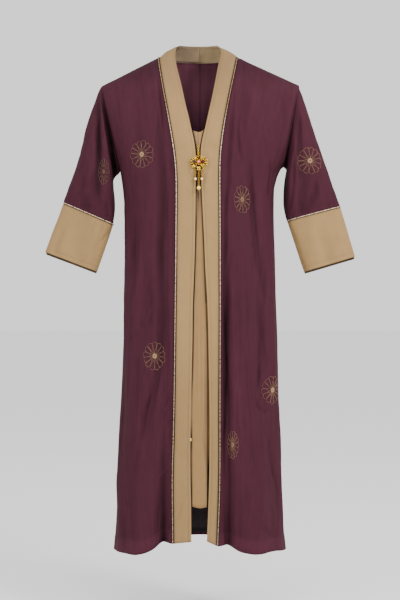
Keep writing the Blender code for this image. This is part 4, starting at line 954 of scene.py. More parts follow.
def feed(tree, node, feeds):
    # each input gets a value, or the output that drives it
    for key, value in feeds.items():
        if isinstance(value, bpy.types.NodeSocket):
            tree.links.new(value, node.inputs[key])
        else:
            node.inputs[key].default_value = value


def addNode(tree, kind, feeds=None, **settings):
    node = tree.nodes.new(kind)
    for key, value in settings.items():
        setattr(node, key, value)
    feed(tree, node, feeds or {})
    return node


def mixColour(tree, kind, factor, first, second):
    feeds = {0: factor, 6: first, 7: second}
    return addNode(tree, "ShaderNodeMix", feeds, data_type="RGBA", blend_type=kind).outputs[2]


def calculate(tree, operation, first, second=0.0):
    return addNode(tree, "ShaderNodeMath", {0: first, 1: second}, operation=operation).outputs[0]


def readMark(tree, name):
    return addNode(tree, "ShaderNodeAttribute", attribute_name=name).outputs["Fac"]


def noise(tree, place, scale, detail=2.0, roughness=0.5):
    feeds = {"Vector": place, "Scale": scale, "Detail": detail, "Roughness": roughness}
    return addNode(tree, "ShaderNodeTexNoise", feeds).outputs["Fac"]


def objectNoise(tree, scale, detail=2.0, roughness=0.5):
    return noise(tree, addNode(tree, "ShaderNodeTexCoord").outputs["Object"], scale, detail, roughness)


def spread(tree, value, low, high):
    feeds = {"From Min": low, "From Max": high, "Value": value}
    return addNode(tree, "ShaderNodeMapRange", feeds).outputs["Result"]


def bumped(tree, height, strength, distance):
    feeds = {"Strength": strength, "Distance": distance, "Height": height}
    return addNode(tree, "ShaderNodeBump", feeds).outputs["Normal"]


# Noise along the threads: repeats to a metre across and along the cloth, and the look that sets its strength
runs = [((420.0, 3.5, 1.0), "streak"), ((85.0, 1.8, 1.0), "broad")]


def clothFinish(name):
    look = clothLooks[name]
    material, tree, shader = newFinish(name)

    def maths(operation, first, second):
        return calculate(tree, operation, first, second)

    mottle = spread(tree, objectNoise(tree, look["mottle"], 5.0, 0.6), 0.3, 0.7)
    colour = mixColour(tree, "MIX", mottle, (*look["dark"], 1), (*look["colour"], 1))
    # the weave: threads along both ways of the cloth, crossed by slubs
    uv = addNode(tree, "ShaderNodeUVMap", uv_map="cloth").outputs["UV"]
    ways = []
    for way in ("X", "Y"):
        feeds = {"Scale": math.pi / 10 / look["weave"], "Distortion": 0.6, "Detail": 2.0, "Vector": uv}
        ways.append(addNode(tree, "ShaderNodeTexWave", feeds, bands_direction=way).outputs["Fac"])
    slub = noise(tree, uv, 900.0, 3.0)
    height = maths("ADD", maths("MULTIPLY", maths("ADD", *ways), 0.5), slub)
    # threads vary a little in tone along their run;
    # turned hems and pressed edges get a painted highlight, and deep folds painted shade
    tone = maths("ADD", maths("MULTIPLY", slub, 0.12), 0.94)
    for repeats, strength in runs:
        stretch = addNode(tree, "ShaderNodeVectorMath", {0: uv, 1: repeats}, operation="MULTIPLY").outputs[0]
        drift = maths("SUBTRACT", noise(tree, stretch, 1.0, 3.0), 0.5)
        tone = maths("ADD", tone, maths("MULTIPLY", drift, look[strength]))
    lift = maths("ADD", maths("MULTIPLY", readMark(tree, "turned"), look["turned"] - 1), 1.0)
    deep = maths("SUBTRACT", 1.0, maths("MULTIPLY", readMark(tree, "shade"), look["shade"]))
    factor = maths("MULTIPLY", maths("MULTIPLY", tone, lift), maths("MAXIMUM", deep, 0.02))
    channels = {"Red": factor, "Green": factor, "Blue": maths("POWER", factor, look["blueFall"])}
    grey = addNode(tree, "ShaderNodeCombineColor", channels).outputs[0]
    # the inner face at the neck gets the hue of its painted light
    tinted = mixColour(tree, "MULTIPLY", readMark(tree, "paintedInsideLighting"), colour, look["paintedInsideLightingTint"])
    feed(tree, shader, {
        "Base Color": mixColour(tree, "MULTIPLY", 1.0, tinted, grey),
        "Normal": bumped(tree, height, look["relief"], 0.0002),
        "Roughness": look["roughness"],
        "Specular IOR Level": look["gloss"],
        "Sheen Weight": look["sheen"],
        "Sheen Roughness": 0.5,
        "Sheen Tint": look["sheenColour"],
    })
    return material


# Threads and metals: colour, second colour, metallic, roughness, size of the variation
threadLooks = {
    "flowerThread": ((0.30, 0.180, 0.092), (0.120, 0.062, 0.034), 0.35, 0.42, 300.0),
    # a darker copy of the flower thread, as painted shade
    "shadedFlowerThread": ((0.170, 0.100, 0.052), (0.070, 0.036, 0.020), 0.30, 0.50, 300.0),
    "flowerHeart": ((0.40, 0.250, 0.132), (0.29, 0.178, 0.090), 0.25, 0.42, 420.0),
    "tanStitch": ((0.27, 0.155, 0.062), (0.20, 0.115, 0.045), 0.0, 0.75, 300.0),
    "burgundyStitch": ((0.030, 0.0065, 0.0105), (0.022, 0.005, 0.008), 0.0, 0.75, 300.0),
    # one gold in three tones: polished, lighter with painted highlight, dark with painted shade
    "polishedGold": ((0.60, 0.32, 0.012), (0.30, 0.14, 0.006), 1.0, 0.22, 600.0),
    "highlightGold": ((0.95, 0.72, 0.20), (0.70, 0.44, 0.050), 1.0, 0.20, 600.0),
    "shadedGold": ((0.060, 0.028, 0.004), (0.030, 0.013, 0.002), 1.0, 0.45, 400.0),
}


def threadFinish(name):
    first, second, metallic, roughness, size = threadLooks[name]
    material, tree, shader = newFinish(name)
    grain = objectNoise(tree, size, 3.0)
    feed(tree, shader, {
        "Base Color": mixColour(tree, "MIX", spread(tree, grain, 0.35, 0.65), (*second, 1), (*first, 1)),
        "Normal": bumped(tree, grain, 0.3, 0.0001),
        "Metallic": metallic,
        "Roughness": roughness,
    })
    return material


# The metallic cord: its size, and its light and brown tones, each also with painted shade
piping = {"radius": 0.00122, "pitch": 0.0066, "step": 0.0016, "light": (0.80, 0.64, 0.46, 1),
          "lightShaded": (0.36, 0.242, 0.118, 1), "brown": (0.20, 0.126, 0.078, 1),
          "brownShaded": (0.048, 0.027, 0.012, 1), "speckles": 210.0}


def cordFinish():
    # champagne metal thread with uneven stretches of brown along its length
    material, tree, shader = newFinish("cordThread")
    line = addNode(tree, "ShaderNodeCombineXYZ", {"X": readMark(tree, "along")}).outputs[0]
    step = spread(tree, noise(tree, line, piping["speckles"]), 0.39, 0.56)
    # darker tones where the cord gets painted shade
    cordShade = readMark(tree, "cordShade")
    light = mixColour(tree, "MIX", cordShade, piping["light"], piping["lightShaded"])
    brown = mixColour(tree, "MIX", cordShade, piping["brown"], piping["brownShaded"])
    colour = mixColour(tree, "MIX", step, brown, light)
    feed(tree, shader, {"Base Color": colour, "Metallic": 0.5, "Roughness": 0.38})
    return material


# Stones and pearls: colour, roughness, coat, gloss
glassLooks = {
    # a white glass for the painted glint on the centre stone
    "glintGlass": ((0.98, 0.93, 0.88), 0.08, 1.0, 0.5),
    "orangeGlass": ((0.56, 0.085, 0.012), 0.30, 0.0, 0.20),
    "darkGlass": ((0.012, 0.014, 0.018), 0.30, 0.0, 0.25),
    "redGlass": ((0.090, 0.006, 0.004), 0.30, 0.0, 0.15),
    "pearlCoat": ((1.0, 0.83, 0.48), 0.25, 0.3, 0.5),
    "goldenPearl": ((1.0, 0.70, 0.12), 0.25, 0.3, 0.5),
}


def glassFinish(name):
    colour, roughness, coat, gloss = glassLooks[name]
    material, tree, shader = newFinish(name)
    darker = tuple(0.72 * c for c in colour)
    feed(tree, shader, {
        "Base Color": mixColour(tree, "MIX", objectNoise(tree, 160.0), (*darker, 1), (*colour, 1)),
        "Roughness": roughness,
        "Coat Weight": coat,
        "Coat Roughness": 0.05,
        "Specular IOR Level": gloss,
    })
    return material


finishes = {name: clothFinish(name) for name in clothLooks}
threads = {name: threadFinish(name) for name in threadLooks}
glass = {name: glassFinish(name) for name in glassLooks}
cordThread = cordFinish()
surfaces = {}


def sewSheet(part, side, nodeName, grid, normal, marks, inside=None, ring=False):
    # one sheet of cloth: its wall, its finish and what it stands for
    finish, slotName, thick = sheets[part]
    name = part + side.capitalize()
    surfaces[name] = (grid, normal)
    # the strips of painted shade and painted light are added to the shade mark
    marks["shade"] = addPaintedShade(name, grid, normal, marks["shade"])
    made = clothPiece(name, grid, normal, thick, finishes[finish], marks, inside or {}, ring)
    settle(made, nodeName)


# Widths at the edges, and how far from a seam the folds fade in, in metres
edging = {"turnedHem": 0.033, "hemLift": 0.0007, "turnOver": 0.0025, "pressed": 0.0062,
          "pressOver": 0.001, "groove": 0.0005, "grooveWide": 0.0012, "seamGroove": 0.0028,
          "seamWide": 0.0017, "cuffDrop": 0.0060, "cuffStitch": 0.0048, "cuffHemStitch": 0.012,
          "cuffHemWide": 0.0016, "cuffSeam": 0.0022}
fadeIn = {"front": 0.012, "back": 0.030, "side": 0.024, "shoulder": 0.030, "bandSeam": 0.006,
          "bandFree": 0.004, "bandEnd": 0.02, "sleeveTop": 0.010, "sleeveEnd": 0.006, "cuffTop": 0.012}
# Painted shade on a body panel: a line where the hem rolls, towards the shoulders and beside the band's seam;
# and on a sleeve at its lower end
bodyTone = {"stitch": 0.30, "rollLineAt": 0.0058, "rollLineWide": 0.0017, "shoulder": 0.36,
            "shoulderFrom": -0.10, "shoulderOver": 0.08, "seam": 1.05, "seamWide": 0.0027,
            "sleeveEnd": 0.85, "sleeveEndWide": 0.0024}
# Painted light and shade on the inner face: how much darker it is painted; negative is painted light,
# as at the body's neck and inside the collar
paintedInsideLighting = {
    "body": [(-0.20, 0.0), (-0.18, -0.3), (-0.16, -1.1), (-0.12, -1.85), (-0.09, -2.40), (-0.06, -2.20),
             (-0.02, -1.25)],
    "collar": [(-0.05, -0.60), (-0.022, -0.68), (0.0, -1.25), (0.018, -1.85), (0.036, -1.50), (0.05, -2.00)],
    "hem": 0.6, "cuff": 0.80, "sides": 0.8,
}


def sewBody(side, face):
    flat = bodyPanel(side, face)
    middle = np.zeros_like(flat)
    middle[..., 2] = flat[..., 2] - 0.02
    keep = smoothStep(edgeReach(flat, 1) / fadeIn[face])
    keep = keep * smoothStep(edgeReach(flat, 1, True) / fadeIn["side"])
    keep = keep * smoothStep(edgeReach(flat, 0, True) / fadeIn["shoulder"])
    if face == "front":
        pressed = {face: (frontFolds, frontCreases[side] + (bandPulls() if side == "right" else []))}
    else:
        pressed = {face: (backFolds, backCreases[side])}
    grid, normal, depth = pressFolds(flat, middle, keep, **pressed, hang=(face, side))
    # the turned hem is lifted a little, and the turned mark gives it a painted highlight
    turned = 1 - smoothStep((edgeReach(grid, 0) - edging["turnedHem"]) / edging["turnOver"])
    grid = grid + normal * (turned * edging["hemLift"])[..., None]
    x, z = grid[..., 0], grid[..., 2]
    # painted shade in the folds, and along a line just above the hem where its edge rolls
    lineShade = bell(edgeReach(grid, 0) - bodyTone["rollLineAt"], bodyTone["rollLineWide"])
    shade = shadeOf(depth) + bodyTone["stitch"] * lineShade
    # on the front, painted shade towards the shoulders and beside the band's cord
    if face == "front":
        shoulder = smoothStep((z - bodyTone["shoulderFrom"]) / bodyTone["shoulderOver"])
        shade = shade + bodyTone["shoulder"] * shoulder
        shade = np.maximum(shade, bodyTone["seam"] * bell(edgeReach(grid, 1), bodyTone["seamWide"]))
    # the inner face gets painted light near the neck, and painted shade at the V's sides and at the hem
    neck = smoothStep((z + 0.42) / 0.16)
    inner = np.interp(z, *zip(*paintedInsideLighting["body"]))
    aside = smoothStep((np.abs(x + 0.003) - 0.009) / 0.014)
    inner = inner + paintedInsideLighting["sides"] * aside * smoothStep((-0.04 - z) / 0.06)
    inside = {"shade": inner * neck + paintedInsideLighting["hem"] * smoothStep((-1.26 - z) / 0.02), "paintedInsideLighting": neck}
    sewSheet(face, side, f"{face}_{side}", grid, normal, {"shade": shade, "turned": turned}, inside)


# Painted shade on a band: its lower and upper parts, the collar, its free edge by the neck, grooves and seam
bandTone = {"low": 0.16, "high": 0.09, "collar": 0.28, "freeEdge": 0.45, "groove": 0.16, "seam": 1.10}


def sewBand(side):
    name = side.capitalize()
    flat, middle = bandStrip(side, surfaces["front" + name][0], surfaces["back" + name][0])
    fromSeam = edgeReach(flat, 1)
    fromFree = edgeReach(flat, 1, True)
    keep = smoothStep(fromSeam / fadeIn["bandSeam"]) * smoothStep(fromFree / fadeIn["bandFree"])
    keep = keep * smoothStep(edgeReach(flat, 0, True) / fadeIn["bandEnd"])
    grid, normal, _ = pressFolds(flat, middle, keep, strength=0.55)
    groove = bell(fromSeam - edging["pressed"], edging["grooveWide"])
    groove = groove + bell(fromFree - edging["pressed"], edging["grooveWide"])
    grid = grid - normal * (groove * edging["groove"])[..., None]
    seamSide = smoothStep((fromSeam - edging["pressed"]) / edging["pressOver"])
    freeSide = smoothStep((fromFree - edging["pressed"]) / edging["pressOver"])
    x, y, z = grid[..., 0], grid[..., 1], grid[..., 2]
    # painted shade low down, high up, on the collar, at the free edge by the neck, in grooves and at the seam
    low = bandTone["low"] * smoothStep((-0.66 - z) / 0.30) + bandTone["high"] * smoothStep((z + 0.30) / 0.25)
    low = low + bandTone["collar"] * smoothStep((z + 0.18) / 0.18)
    low = low + bandTone["freeEdge"] * bell(fromFree, 0.0014) * smoothStep((z + 0.24) / 0.05)
    seam = bandTone["seam"] * bell(fromSeam - edging["seamGroove"], edging["seamWide"], 4)
    shade = np.clip(low + bandTone["groove"] * groove + seam, 0, 1.1)
    # inside the collar the inner face gets painted light, more on the wearer's left
    neck = smoothStep((y + 0.050) / 0.060)
    inside = {"shade": np.interp(x, *zip(*paintedInsideLighting["collar"])) * neck, "paintedInsideLighting": neck}
    # the pressed edges get a painted highlight through the turned mark
    marks = {"shade": shade, "turned": np.clip(1 - seamSide + 1 - freeSide, 0, 1)}
    sewSheet("band", side, f"band_{side}", grid, outward(grid, middle), marks, inside)


def sewSleeve(side):
    flat, middle = tubeGrid(side, sleeveLine[side], sleeveShares)
    keep = smoothStep(edgeReach(flat, 0) / fadeIn["sleeveTop"])
    keep = keep * smoothStep(edgeReach(flat, 0, True) / fadeIn["sleeveEnd"])
    front = (frontFolds, sleeveCreases[side] + gathers(side))
    back = (backFolds, backCreases[side])
    grid, normal, depth = pressFolds(flat, middle, keep, front, back, ring=True, hang=("sleeve", side))
    # painted shade in the folds, and at the lower end beside the cuff's piping
    end = bodyTone["sleeveEnd"] * bell(edgeReach(grid, 0, True), bodyTone["sleeveEndWide"])
    marks = {"shade": np.maximum(shadeOf(depth, True), end)}
    sewSheet("sleeve", side, f"sleeve_{side}", grid, normal, marks, ring=True)


# Painted shade on a cuff: in its folds and in the grooves of its stitch lines; it is also a little darker all
# over
cuffTone = {"folds": 0.6, "lineShade": 0.05, "all": 0.05}


def sewCuff(side):
    flat, middle = tubeGrid(side, cuffLine[side], cuffShares)
    keep = smoothStep(edgeReach(flat, 0) / fadeIn["cuffTop"])
    front = ([], cuffCreases[side])
    grid, normal, depth = pressFolds(flat, middle, keep, front, ring=True, strength=0.4)
    # the far side hangs a little lower, so a thin edge of its inside shows
    lower = edging["cuffDrop"] * smoothStep(normal[-1, :, 1] / 0.4)[:, None] * unit(grid[-1] - grid[-4])
    grid[-1] += lower
    grid[-2] += lower * 0.6
    fromSeam = edgeReach(grid, 0)
    groove = bell(edgeReach(grid, 0, True) - edging["cuffHemStitch"], edging["cuffHemWide"])
    groove = groove + bell(fromSeam - edging["cuffStitch"], edging["grooveWide"])
    grid = grid - normal * (0.3 * groove * edging["groove"])[..., None]
    # painted shade in folds, stitch grooves and beside the piping, and on the inner face
    shade = cuffTone["folds"] * shadeOf(depth, True) + cuffTone["lineShade"] * groove + cuffTone["all"]
    marks = {"shade": shade + bell(fromSeam - edging["cuffSeam"], edging["grooveWide"], 4)}
    sewSheet("cuff", side, f"cuff_{side}", grid, normal, marks, {"shade": paintedInsideLighting["cuff"]}, ring=True)


for side in sides:
    for face in ("front", "back"):
        sewBody(side, face)
    print("body panels made:", side)
for side in sides:
    sewBand(side)
    sewSleeve(side)
    sewCuff(side)
    print("band, sleeve and cuff made:", side)

# The insert between the bands, its pleat, its scooped neck and the shadow beside each band
insertLook = {"top": -0.2070, "hem": -1.1790, "rows": 96, "pleatStart": -0.42, "pleatLength": 0.40,
              "scoop": 0.010, "line": 0.0021, "shadow": 0.0030, "sag": 0.0050, "turned": 0.010}
# How much painted shade the insert gets beside each band's edge, by height
besideBand = {
    "right": [
        (-1.18, 1.25), (-1.11, 1.05), (-1.05, 1.05), (-1, 1.3), (-0.97, 0.6), (-0.88, 0.65),
        (-0.84, 1.25), (-0.78, 1.1), (-0.6, 1.1), (-0.52, 0.8), (-0.44, 0.8), (-0.415, 0.35),
        (-0.355, 0.22), (-0.33, 0.5), (-0.3, 1.25), (-0.207, 1.25),
    ],
    "left": [
        (-1.18, 1.3), (-1.08, 0.9), (-1.03, 0.25), (-0.93, 0.15), (-0.8, 0.05), (-0.66, -0.05),
        (-0.6, 0.05), (-0.52, 0.3), (-0.45, 0.5), (-0.415, 0.24), (-0.355, 0.24), (-0.3, 0.9),
        (-0.207, 1),
    ],
}
# Columns between the bands: x and its shift in the pleat, distance back and its shift, share of the scoop
insertColumns = [
    (-0.012, 0, 0, 0, 0.8), (-0.0035, 0, -0.0004, 0, 1), (0.004, 0.006, 0, 0, 0.8),
    (0.0075, 0.0105, 0.0005, 0, 0.5), (0.0085, 0.0095, 0.001, 0.004, 0.4),
    (0.0115, 0.0135, 0.001, 0.0055, 0.2),
]
# Columns sewn behind the bands: band, share across it, distance behind it
insertEdges = [("Right", 0.45, 0.0006), ("Right", 0.75, 0.0018), ("Left", 0.75, 0.0018),
               ("Left", 0.45, 0.0006)]


def behindBand(side, height, share, behind):
    grid, normal = surfaces["band" + side]
    panelRows = len(surfaces["front" + side][0])
    row = float(np.interp(height, grid[:panelRows, 0, 2], np.arange(panelRows)))
    line = (grid - normal * (sheets["band"][2] + behind))[[int(row), min(int(row) + 1, panelRows - 1)]]
    line = line[0] * (1 - row % 1) + line[1] * (row % 1)
    return np.array([np.interp(share, bandShares, line[:, k]) for k in range(3)])


def insertRow(height):
    # one row of the insert, from behind the right band to behind the left one
    ends = [behindBand(side, height, share, behind) for side, share, behind in insertEdges]
    pleat = float(smoothStep((insertLook["pleatStart"] - height) / insertLook["pleatLength"]))
    scoop = insertLook["scoop"] * float(np.clip((height + 0.26) / 0.05, 0, 1))
    yMiddle = (ends[1][1] + ends[2][1]) / 2 + sheets["innerPanel"][2]
    zMiddle = (ends[1][2] + ends[2][2]) / 2
    between = []
    for x, xShift, backBy, backShift, scoopShare in insertColumns:
        y = yMiddle + backBy + backShift * pleat
        between.append([x + xShift * pleat, y, zMiddle - scoop * scoopShare])
    return smoothLine([*ends[:2], *between, *ends[2:]], 7)


def sewInsert():
    heights = np.linspace(insertLook["hem"], insertLook["top"], insertLook["rows"])
    grid = np.array([insertRow(height) for height in heights])
    x, z = grid[..., 0], grid[..., 2].copy()
    grid[..., 2] -= insertLook["sag"] * bell(x - 0.001, 0.016) * smoothStep((-1.08 - z) / 0.10)
    middle = np.zeros_like(grid)
    middle[..., 2] = grid[..., 2]
    # the turned hem gets a painted highlight through the turned mark
    turned = 1 - smoothStep((edgeReach(grid, 0) - insertLook["turned"]) / edging["pressOver"])
    shade = np.zeros_like(turned)
    # painted shade beside each band's edge, where the band's shadow falls
    for side in sides:
        name = side.capitalize()
        edge = surfaces["band" + name][0][: len(surfaces["front" + name][0]), -1]
        inwards = -sides[side]["sign"] * (x - np.interp(grid[..., 2], edge[:, 2], edge[:, 0]))
        dark = readTable(besideBand[side], 1, grid[..., 2])
        beside = 1 - smoothStep((inwards - insertLook["line"]) / insertLook["shadow"])
        shade = np.maximum(shade, dark * beside)
    marks = {"shade": shade, "turned": turned}
    sewSheet("innerPanel", "", "inner_panel", grid, outward(grid, middle), marks)


# The lining's upper end, the depth of its turned hem and how much painted shade that gets
liningLook = {"top": -0.900, "hem": 0.012, "hemShade": 0.85}


def sewLining():
    # the lining hangs just inside the lower back
    halves = []
    for side in ("Right", "Left"):
        grid, normal = surfaces["back" + side]
        top = int(np.searchsorted(grid[:, 0, 2], liningLook["top"]))
        start = 0 if side == "Left" else 1
        moved = grid - normal * (sheets["back"][2] + gap)
        halves.append([part[1:top, start:-1] for part in (moved, normal)])
    rows = min(len(half[0]) for half in halves)
    joined = []
    for right, left in zip(*halves):
        joined.append(np.concatenate([right[:rows, ::-1], left[:rows]], axis=1))
    grid, normal = joined
    turned = 1 - smoothStep((edgeReach(grid, 0) - liningLook["hem"]) / edging["pressOver"])
    # painted shade along the lining's turned hem
    sewSheet("backLining", "", "back_lining", grid, normal, {"shade": liningLook["hemShade"] * turned})


sewInsert()
sewLining()
print("insert and lining made")


def newTree(name, inputs):
    tree = bpy.data.node_groups.new(name, "GeometryNodeTree")
    tree.interface.new_socket("Geometry", in_out="INPUT", socket_type="NodeSocketGeometry")
    for label, (kind, value) in inputs.items():
        socket = tree.interface.new_socket(label, in_out="INPUT", socket_type="NodeSocket" + kind)
        if value is not None:
            socket.default_value = value
    tree.interface.new_socket("Geometry", in_out="OUTPUT", socket_type="NodeSocketGeometry")
    return tree, tree.nodes.new("NodeGroupInput").outputs


def closeTree(tree, start, geometry):
    # every tree ends in real, smooth geometry with its thread
    real = addNode(tree, "GeometryNodeRealizeInstances", {"Geometry": geometry}).outputs[0]
    soft = addNode(tree, "GeometryNodeSetShadeSmooth", {"Geometry": real}).outputs[0]
    feeds = {"Geometry": soft, "Material": start["Thread"]}
    coloured = addNode(tree, "GeometryNodeSetMaterial", feeds).outputs[0]
    addNode(tree, "NodeGroupOutput", {"Geometry": coloured})
    return tree


def stitchTree():
    # small rounded stitches or beads laid end to end along lines
    sizes = {"Spacing": ("Float", 0.002), "Length": ("Float", 0.003), "Thickness": ("Float", 0.0016),
             "Slant": ("Float", 0.0), "Sides": ("Int", 5), "Rings": ("Int", 3), "Seed": ("Int", 5),
             "Thread": ("Material", None)}
    tree, start = newTree("sewnStitches", sizes)
    curve = addNode(tree, "GeometryNodeMeshToCurve", {"Mesh": start["Geometry"]}).outputs[0]
    feeds = {"Curve": curve, "Length": start["Spacing"]}
    spots = addNode(tree, "GeometryNodeCurveToPoints", feeds, mode="LENGTH").outputs
    feeds = {"Radius": 0.5, "Segments": start["Sides"], "Rings": start["Rings"]}
    ball = addNode(tree, "GeometryNodeMeshUVSphere", feeds).outputs["Mesh"]
    feeds = {"X": start["Thickness"], "Y": start["Thickness"], "Z": start["Length"]}
    size = addNode(tree, "ShaderNodeCombineXYZ", feeds).outputs[0]
    shape = addNode(tree, "GeometryNodeTransform", {"Geometry": ball, "Scale": size}).outputs[0]
    feeds = {"Vector": spots["Tangent"]}
    along = addNode(tree, "FunctionNodeAlignRotationToVector", feeds, axis="Z").outputs[0]
    tilt = addNode(tree, "ShaderNodeCombineXYZ", {"X": start["Slant"]}).outputs[0]
    turnBy = addNode(tree, "FunctionNodeEulerToRotation", {0: tilt}).outputs[0]
    feeds = {"Rotation": along, "Rotate By": turnBy}
    turned = addNode(tree, "FunctionNodeRotateRotation", feeds, rotation_space="LOCAL").outputs[0]
    feeds = {2: 0.88, 3: 1.10, "Seed": start["Seed"]}
    vary = addNode(tree, "FunctionNodeRandomValue", feeds, data_type="FLOAT").outputs[1]
    feeds = {"Points": spots["Points"], "Instance": shape, "Rotation": turned, "Scale": vary}
    return closeTree(tree, start, addNode(tree, "GeometryNodeInstanceOnPoints", feeds).outputs[0])


def cordTree(strands):
    # strands twisted round a line
    sizes = {"Radius": ("Float", 0.0016), "Pitch": ("Float", 0.008), "Step": ("Float", 0.0016),
             "Sides": ("Int", 6), "Thread": ("Material", None)}
    tree, start = newTree("twistedCord", sizes)

    def maths(operation, first, second=0.0):
        return calculate(tree, operation, first, second)

    def vectors(operation, first, second):
        feeds = {0: first, "Scale" if operation == "SCALE" else 1: second}
        return addNode(tree, "ShaderNodeVectorMath", feeds, operation=operation).outputs[0]

    curve = addNode(tree, "GeometryNodeMeshToCurve", {"Mesh": start["Geometry"]}).outputs[0]
    feeds = {"Curve": curve, "Length": start["Step"]}
    even = addNode(tree, "GeometryNodeResampleCurve", feeds, mode="LENGTH").outputs[0]
    run = addNode(tree, "GeometryNodeSplineParameter").outputs["Length"]
    feeds = {"Name": "along", "Geometry": even, "Value": run}
    keep = addNode(tree, "GeometryNodeStoreNamedAttribute", feeds, data_type="FLOAT", domain="POINT")
    tangent = addNode(tree, "GeometryNodeInputTangent").outputs[0]
    normal = addNode(tree, "GeometryNodeInputNormal").outputs[0]
    beside = vectors("CROSS_PRODUCT", tangent, normal)
    offset = maths("MULTIPLY", start["Radius"], 0.48)
    feeds = {"Resolution": start["Sides"], "Radius": maths("MULTIPLY", start["Radius"], 0.56)}
    profile = addNode(tree, "GeometryNodeCurvePrimitiveCircle", feeds).outputs["Curve"]
    together = addNode(tree, "GeometryNodeJoinGeometry")
    for k in range(strands):
        turn = maths("MULTIPLY", maths("DIVIDE", run, start["Pitch"]), 2 * math.pi)
        turn = maths("ADD", turn, 2 * math.pi * k / strands)
        outBy = vectors("SCALE", normal, maths("MULTIPLY", maths("COSINE", turn), offset))
        asideBy = vectors("SCALE", beside, maths("MULTIPLY", maths("SINE", turn), offset))
        feeds = {"Geometry": keep.outputs["Geometry"], "Offset": vectors("ADD", outBy, asideBy)}
        moved = addNode(tree, "GeometryNodeSetPosition", feeds).outputs[0]
        feeds = {"Fill Caps": True, "Curve": moved, "Profile Curve": profile}
        feed(tree, together, {0: addNode(tree, "GeometryNodeCurveToMesh", feeds).outputs["Mesh"]})
    return closeTree(tree, start, together.outputs[0])


sewing = stitchTree()
twisting = cordTree(2)


def growAlong(name, lines, tree, values, closed=False):
    # lines of points become a joined mesh of what the tree lays along them
    points = []
    edges = []
    for line in lines:
        first = len(points)
        points += [tuple(float(k) for k in point) for point in line]
        edges += [(k, k + 1) for k in range(first, len(points) - 1)]
        if closed:
            edges.append((len(points) - 1, first))
    data = bpy.data.meshes.new(name + "Lines")
    data.from_pydata(points, edges, [])
    lineObject = addObject(name + "Lines", data)
    modifier = lineObject.modifiers.new("grow", "NODES")
    modifier.node_group = tree
    for item in tree.interface.items_tree:
        if item.name in values:
            modifier[item.identifier] = values[item.name]
    bpy.context.view_layer.update()
    graph = bpy.context.evaluated_depsgraph_get()
    grown = bpy.data.meshes.new_from_object(lineObject.evaluated_get(graph))
    grown.name = name
    bpy.data.objects.remove(lineObject, do_unlink=True)
    return addObject(name, grown)


def layCord(name, path, nodeName, closed=False):
    # the cord gets painted shade high up at the neck and towards the hem
    values = {label.capitalize(): piping[label] for label in ("radius", "pitch", "step")}
    values["Thread"] = cordThread
    made = growAlong(name, [path], twisting, values, closed)
    height = np.empty(len(made.data.vertices) * 3, np.float32)
    made.data.vertices.foreach_get("co", height)
    z = height[2::3]
    setMark(made, "cordShade", np.maximum(0.68 * smoothStep((-0.42 - z) / 0.5), smoothStep((z + 0.24) / 0.12)))
    settle(made, nodeName)


for side in sides:
    name = side.capitalize()
    grid, normal = surfaces["band" + name]
    path = grid[:, 0] + normal[:, 0] * (piping["radius"] + gap)
    path[-1] += unit(path[-2] - path[-1]) * gap
    layCord("piping" + name, path, f"piping_{side}")
    grid, normal = surfaces["cuff" + name]
    path = grid[0] + normal[0] * (piping["radius"] + gap)
    layCord("cuffPiping" + name, path, f"cuff_piping_{side}", closed=True)
print("piping laid")

# Rows of machine stitches: spacing, stitch length, thickness
seamStitch = {"Spacing": 0.0042, "Length": 0.0033, "Thickness": 0.0007, "Sides": 4, "Rings": 3}


def lineAt(grid, normal, distance, fromEnd=False):
    # a line just over the cloth, at a distance from its first or its last column
    if fromEnd:
        grid, normal = grid[:, ::-1], normal[:, ::-1]
    reach = edgeReach(grid, 1)
    raised = grid + normal * 0.0002
    found = []
    for along, points in zip(reach, raised):
        found.append([np.interp(distance, along, points[:, c]) for c in range(3)])
    return np.array(found)


def sewLines(name, lines, slotName, thread, **sizes):
    settle(growAlong(name, lines, sewing, {**seamStitch, **sizes, "Thread": threads[thread]}))


for side in sides:
    name = side.capitalize()
    band = surfaces["band" + name]
    lines = [lineAt(*band, edging["pressed"]), lineAt(*band, edging["pressed"], True)]
    sewLines("bandStitches" + name, lines, "tan_cloth", "tanStitch")
    cuff = [closeRing(part).transpose(1, 0, 2) for part in surfaces["cuff" + name]]
    lines = [lineAt(*cuff, edging["cuffStitch"]), lineAt(*cuff, edging["cuffHemStitch"], True)]
    sewLines("cuffStitches" + name, lines, "tan_cloth", "tanStitch", Thickness=0.0005)
    lines = []
    for face in ("front", "back"):
        panel = [part.transpose(1, 0, 2) for part in surfaces[face + name]]
        lines.append(lineAt(*panel, edging["turnedHem"] - 0.002))
    sewLines("hemStitches" + name, lines, "burgundy_cloth", "burgundyStitch")
print("stitches sewn")

# Thread flowers: pieces sewn to, middle in the picture, radius in metres, share of the width that shows,
# turn of the first petal
flowers = [
    {"on": ["frontRight", "sleeveRight"], "column": 141.9, "row": 154.3, "radius": 0.0355, "show": 0.9,
     "turn": 0.2},
    {"on": ["sleeveRight"], "column": 103.6, "row": 171.6, "radius": 0.034, "show": 0.46, "turn": 0.5,
     "inner": 0.013},
    {"on": ["sleeveLeft"], "column": 310.1, "row": 160.7, "radius": 0.0355, "show": 1, "turn": 0.1},
    {"on": ["frontLeft"], "column": 242.2, "row": 199.4, "radius": 0.0355, "show": 0.68, "turn": 0.35},
    {"on": ["frontRight"], "column": 154.7, "row": 356, "radius": 0.0365, "show": 0.86, "turn": 0},
    {"on": ["frontLeft"], "column": 272.6, "row": 390, "radius": 0.0365, "show": 0.9, "turn": 0.3},
    {"on": ["frontLeft"], "column": 232.6, "row": 444.9, "radius": 0.0355, "show": 0.5, "turn": 0.15},
]
petalShape = {"count": 13, "inner": 0.0074, "wide": 0.0208, "tip": 0.80, "narrowing": 0.80, "lift": 0.0003}
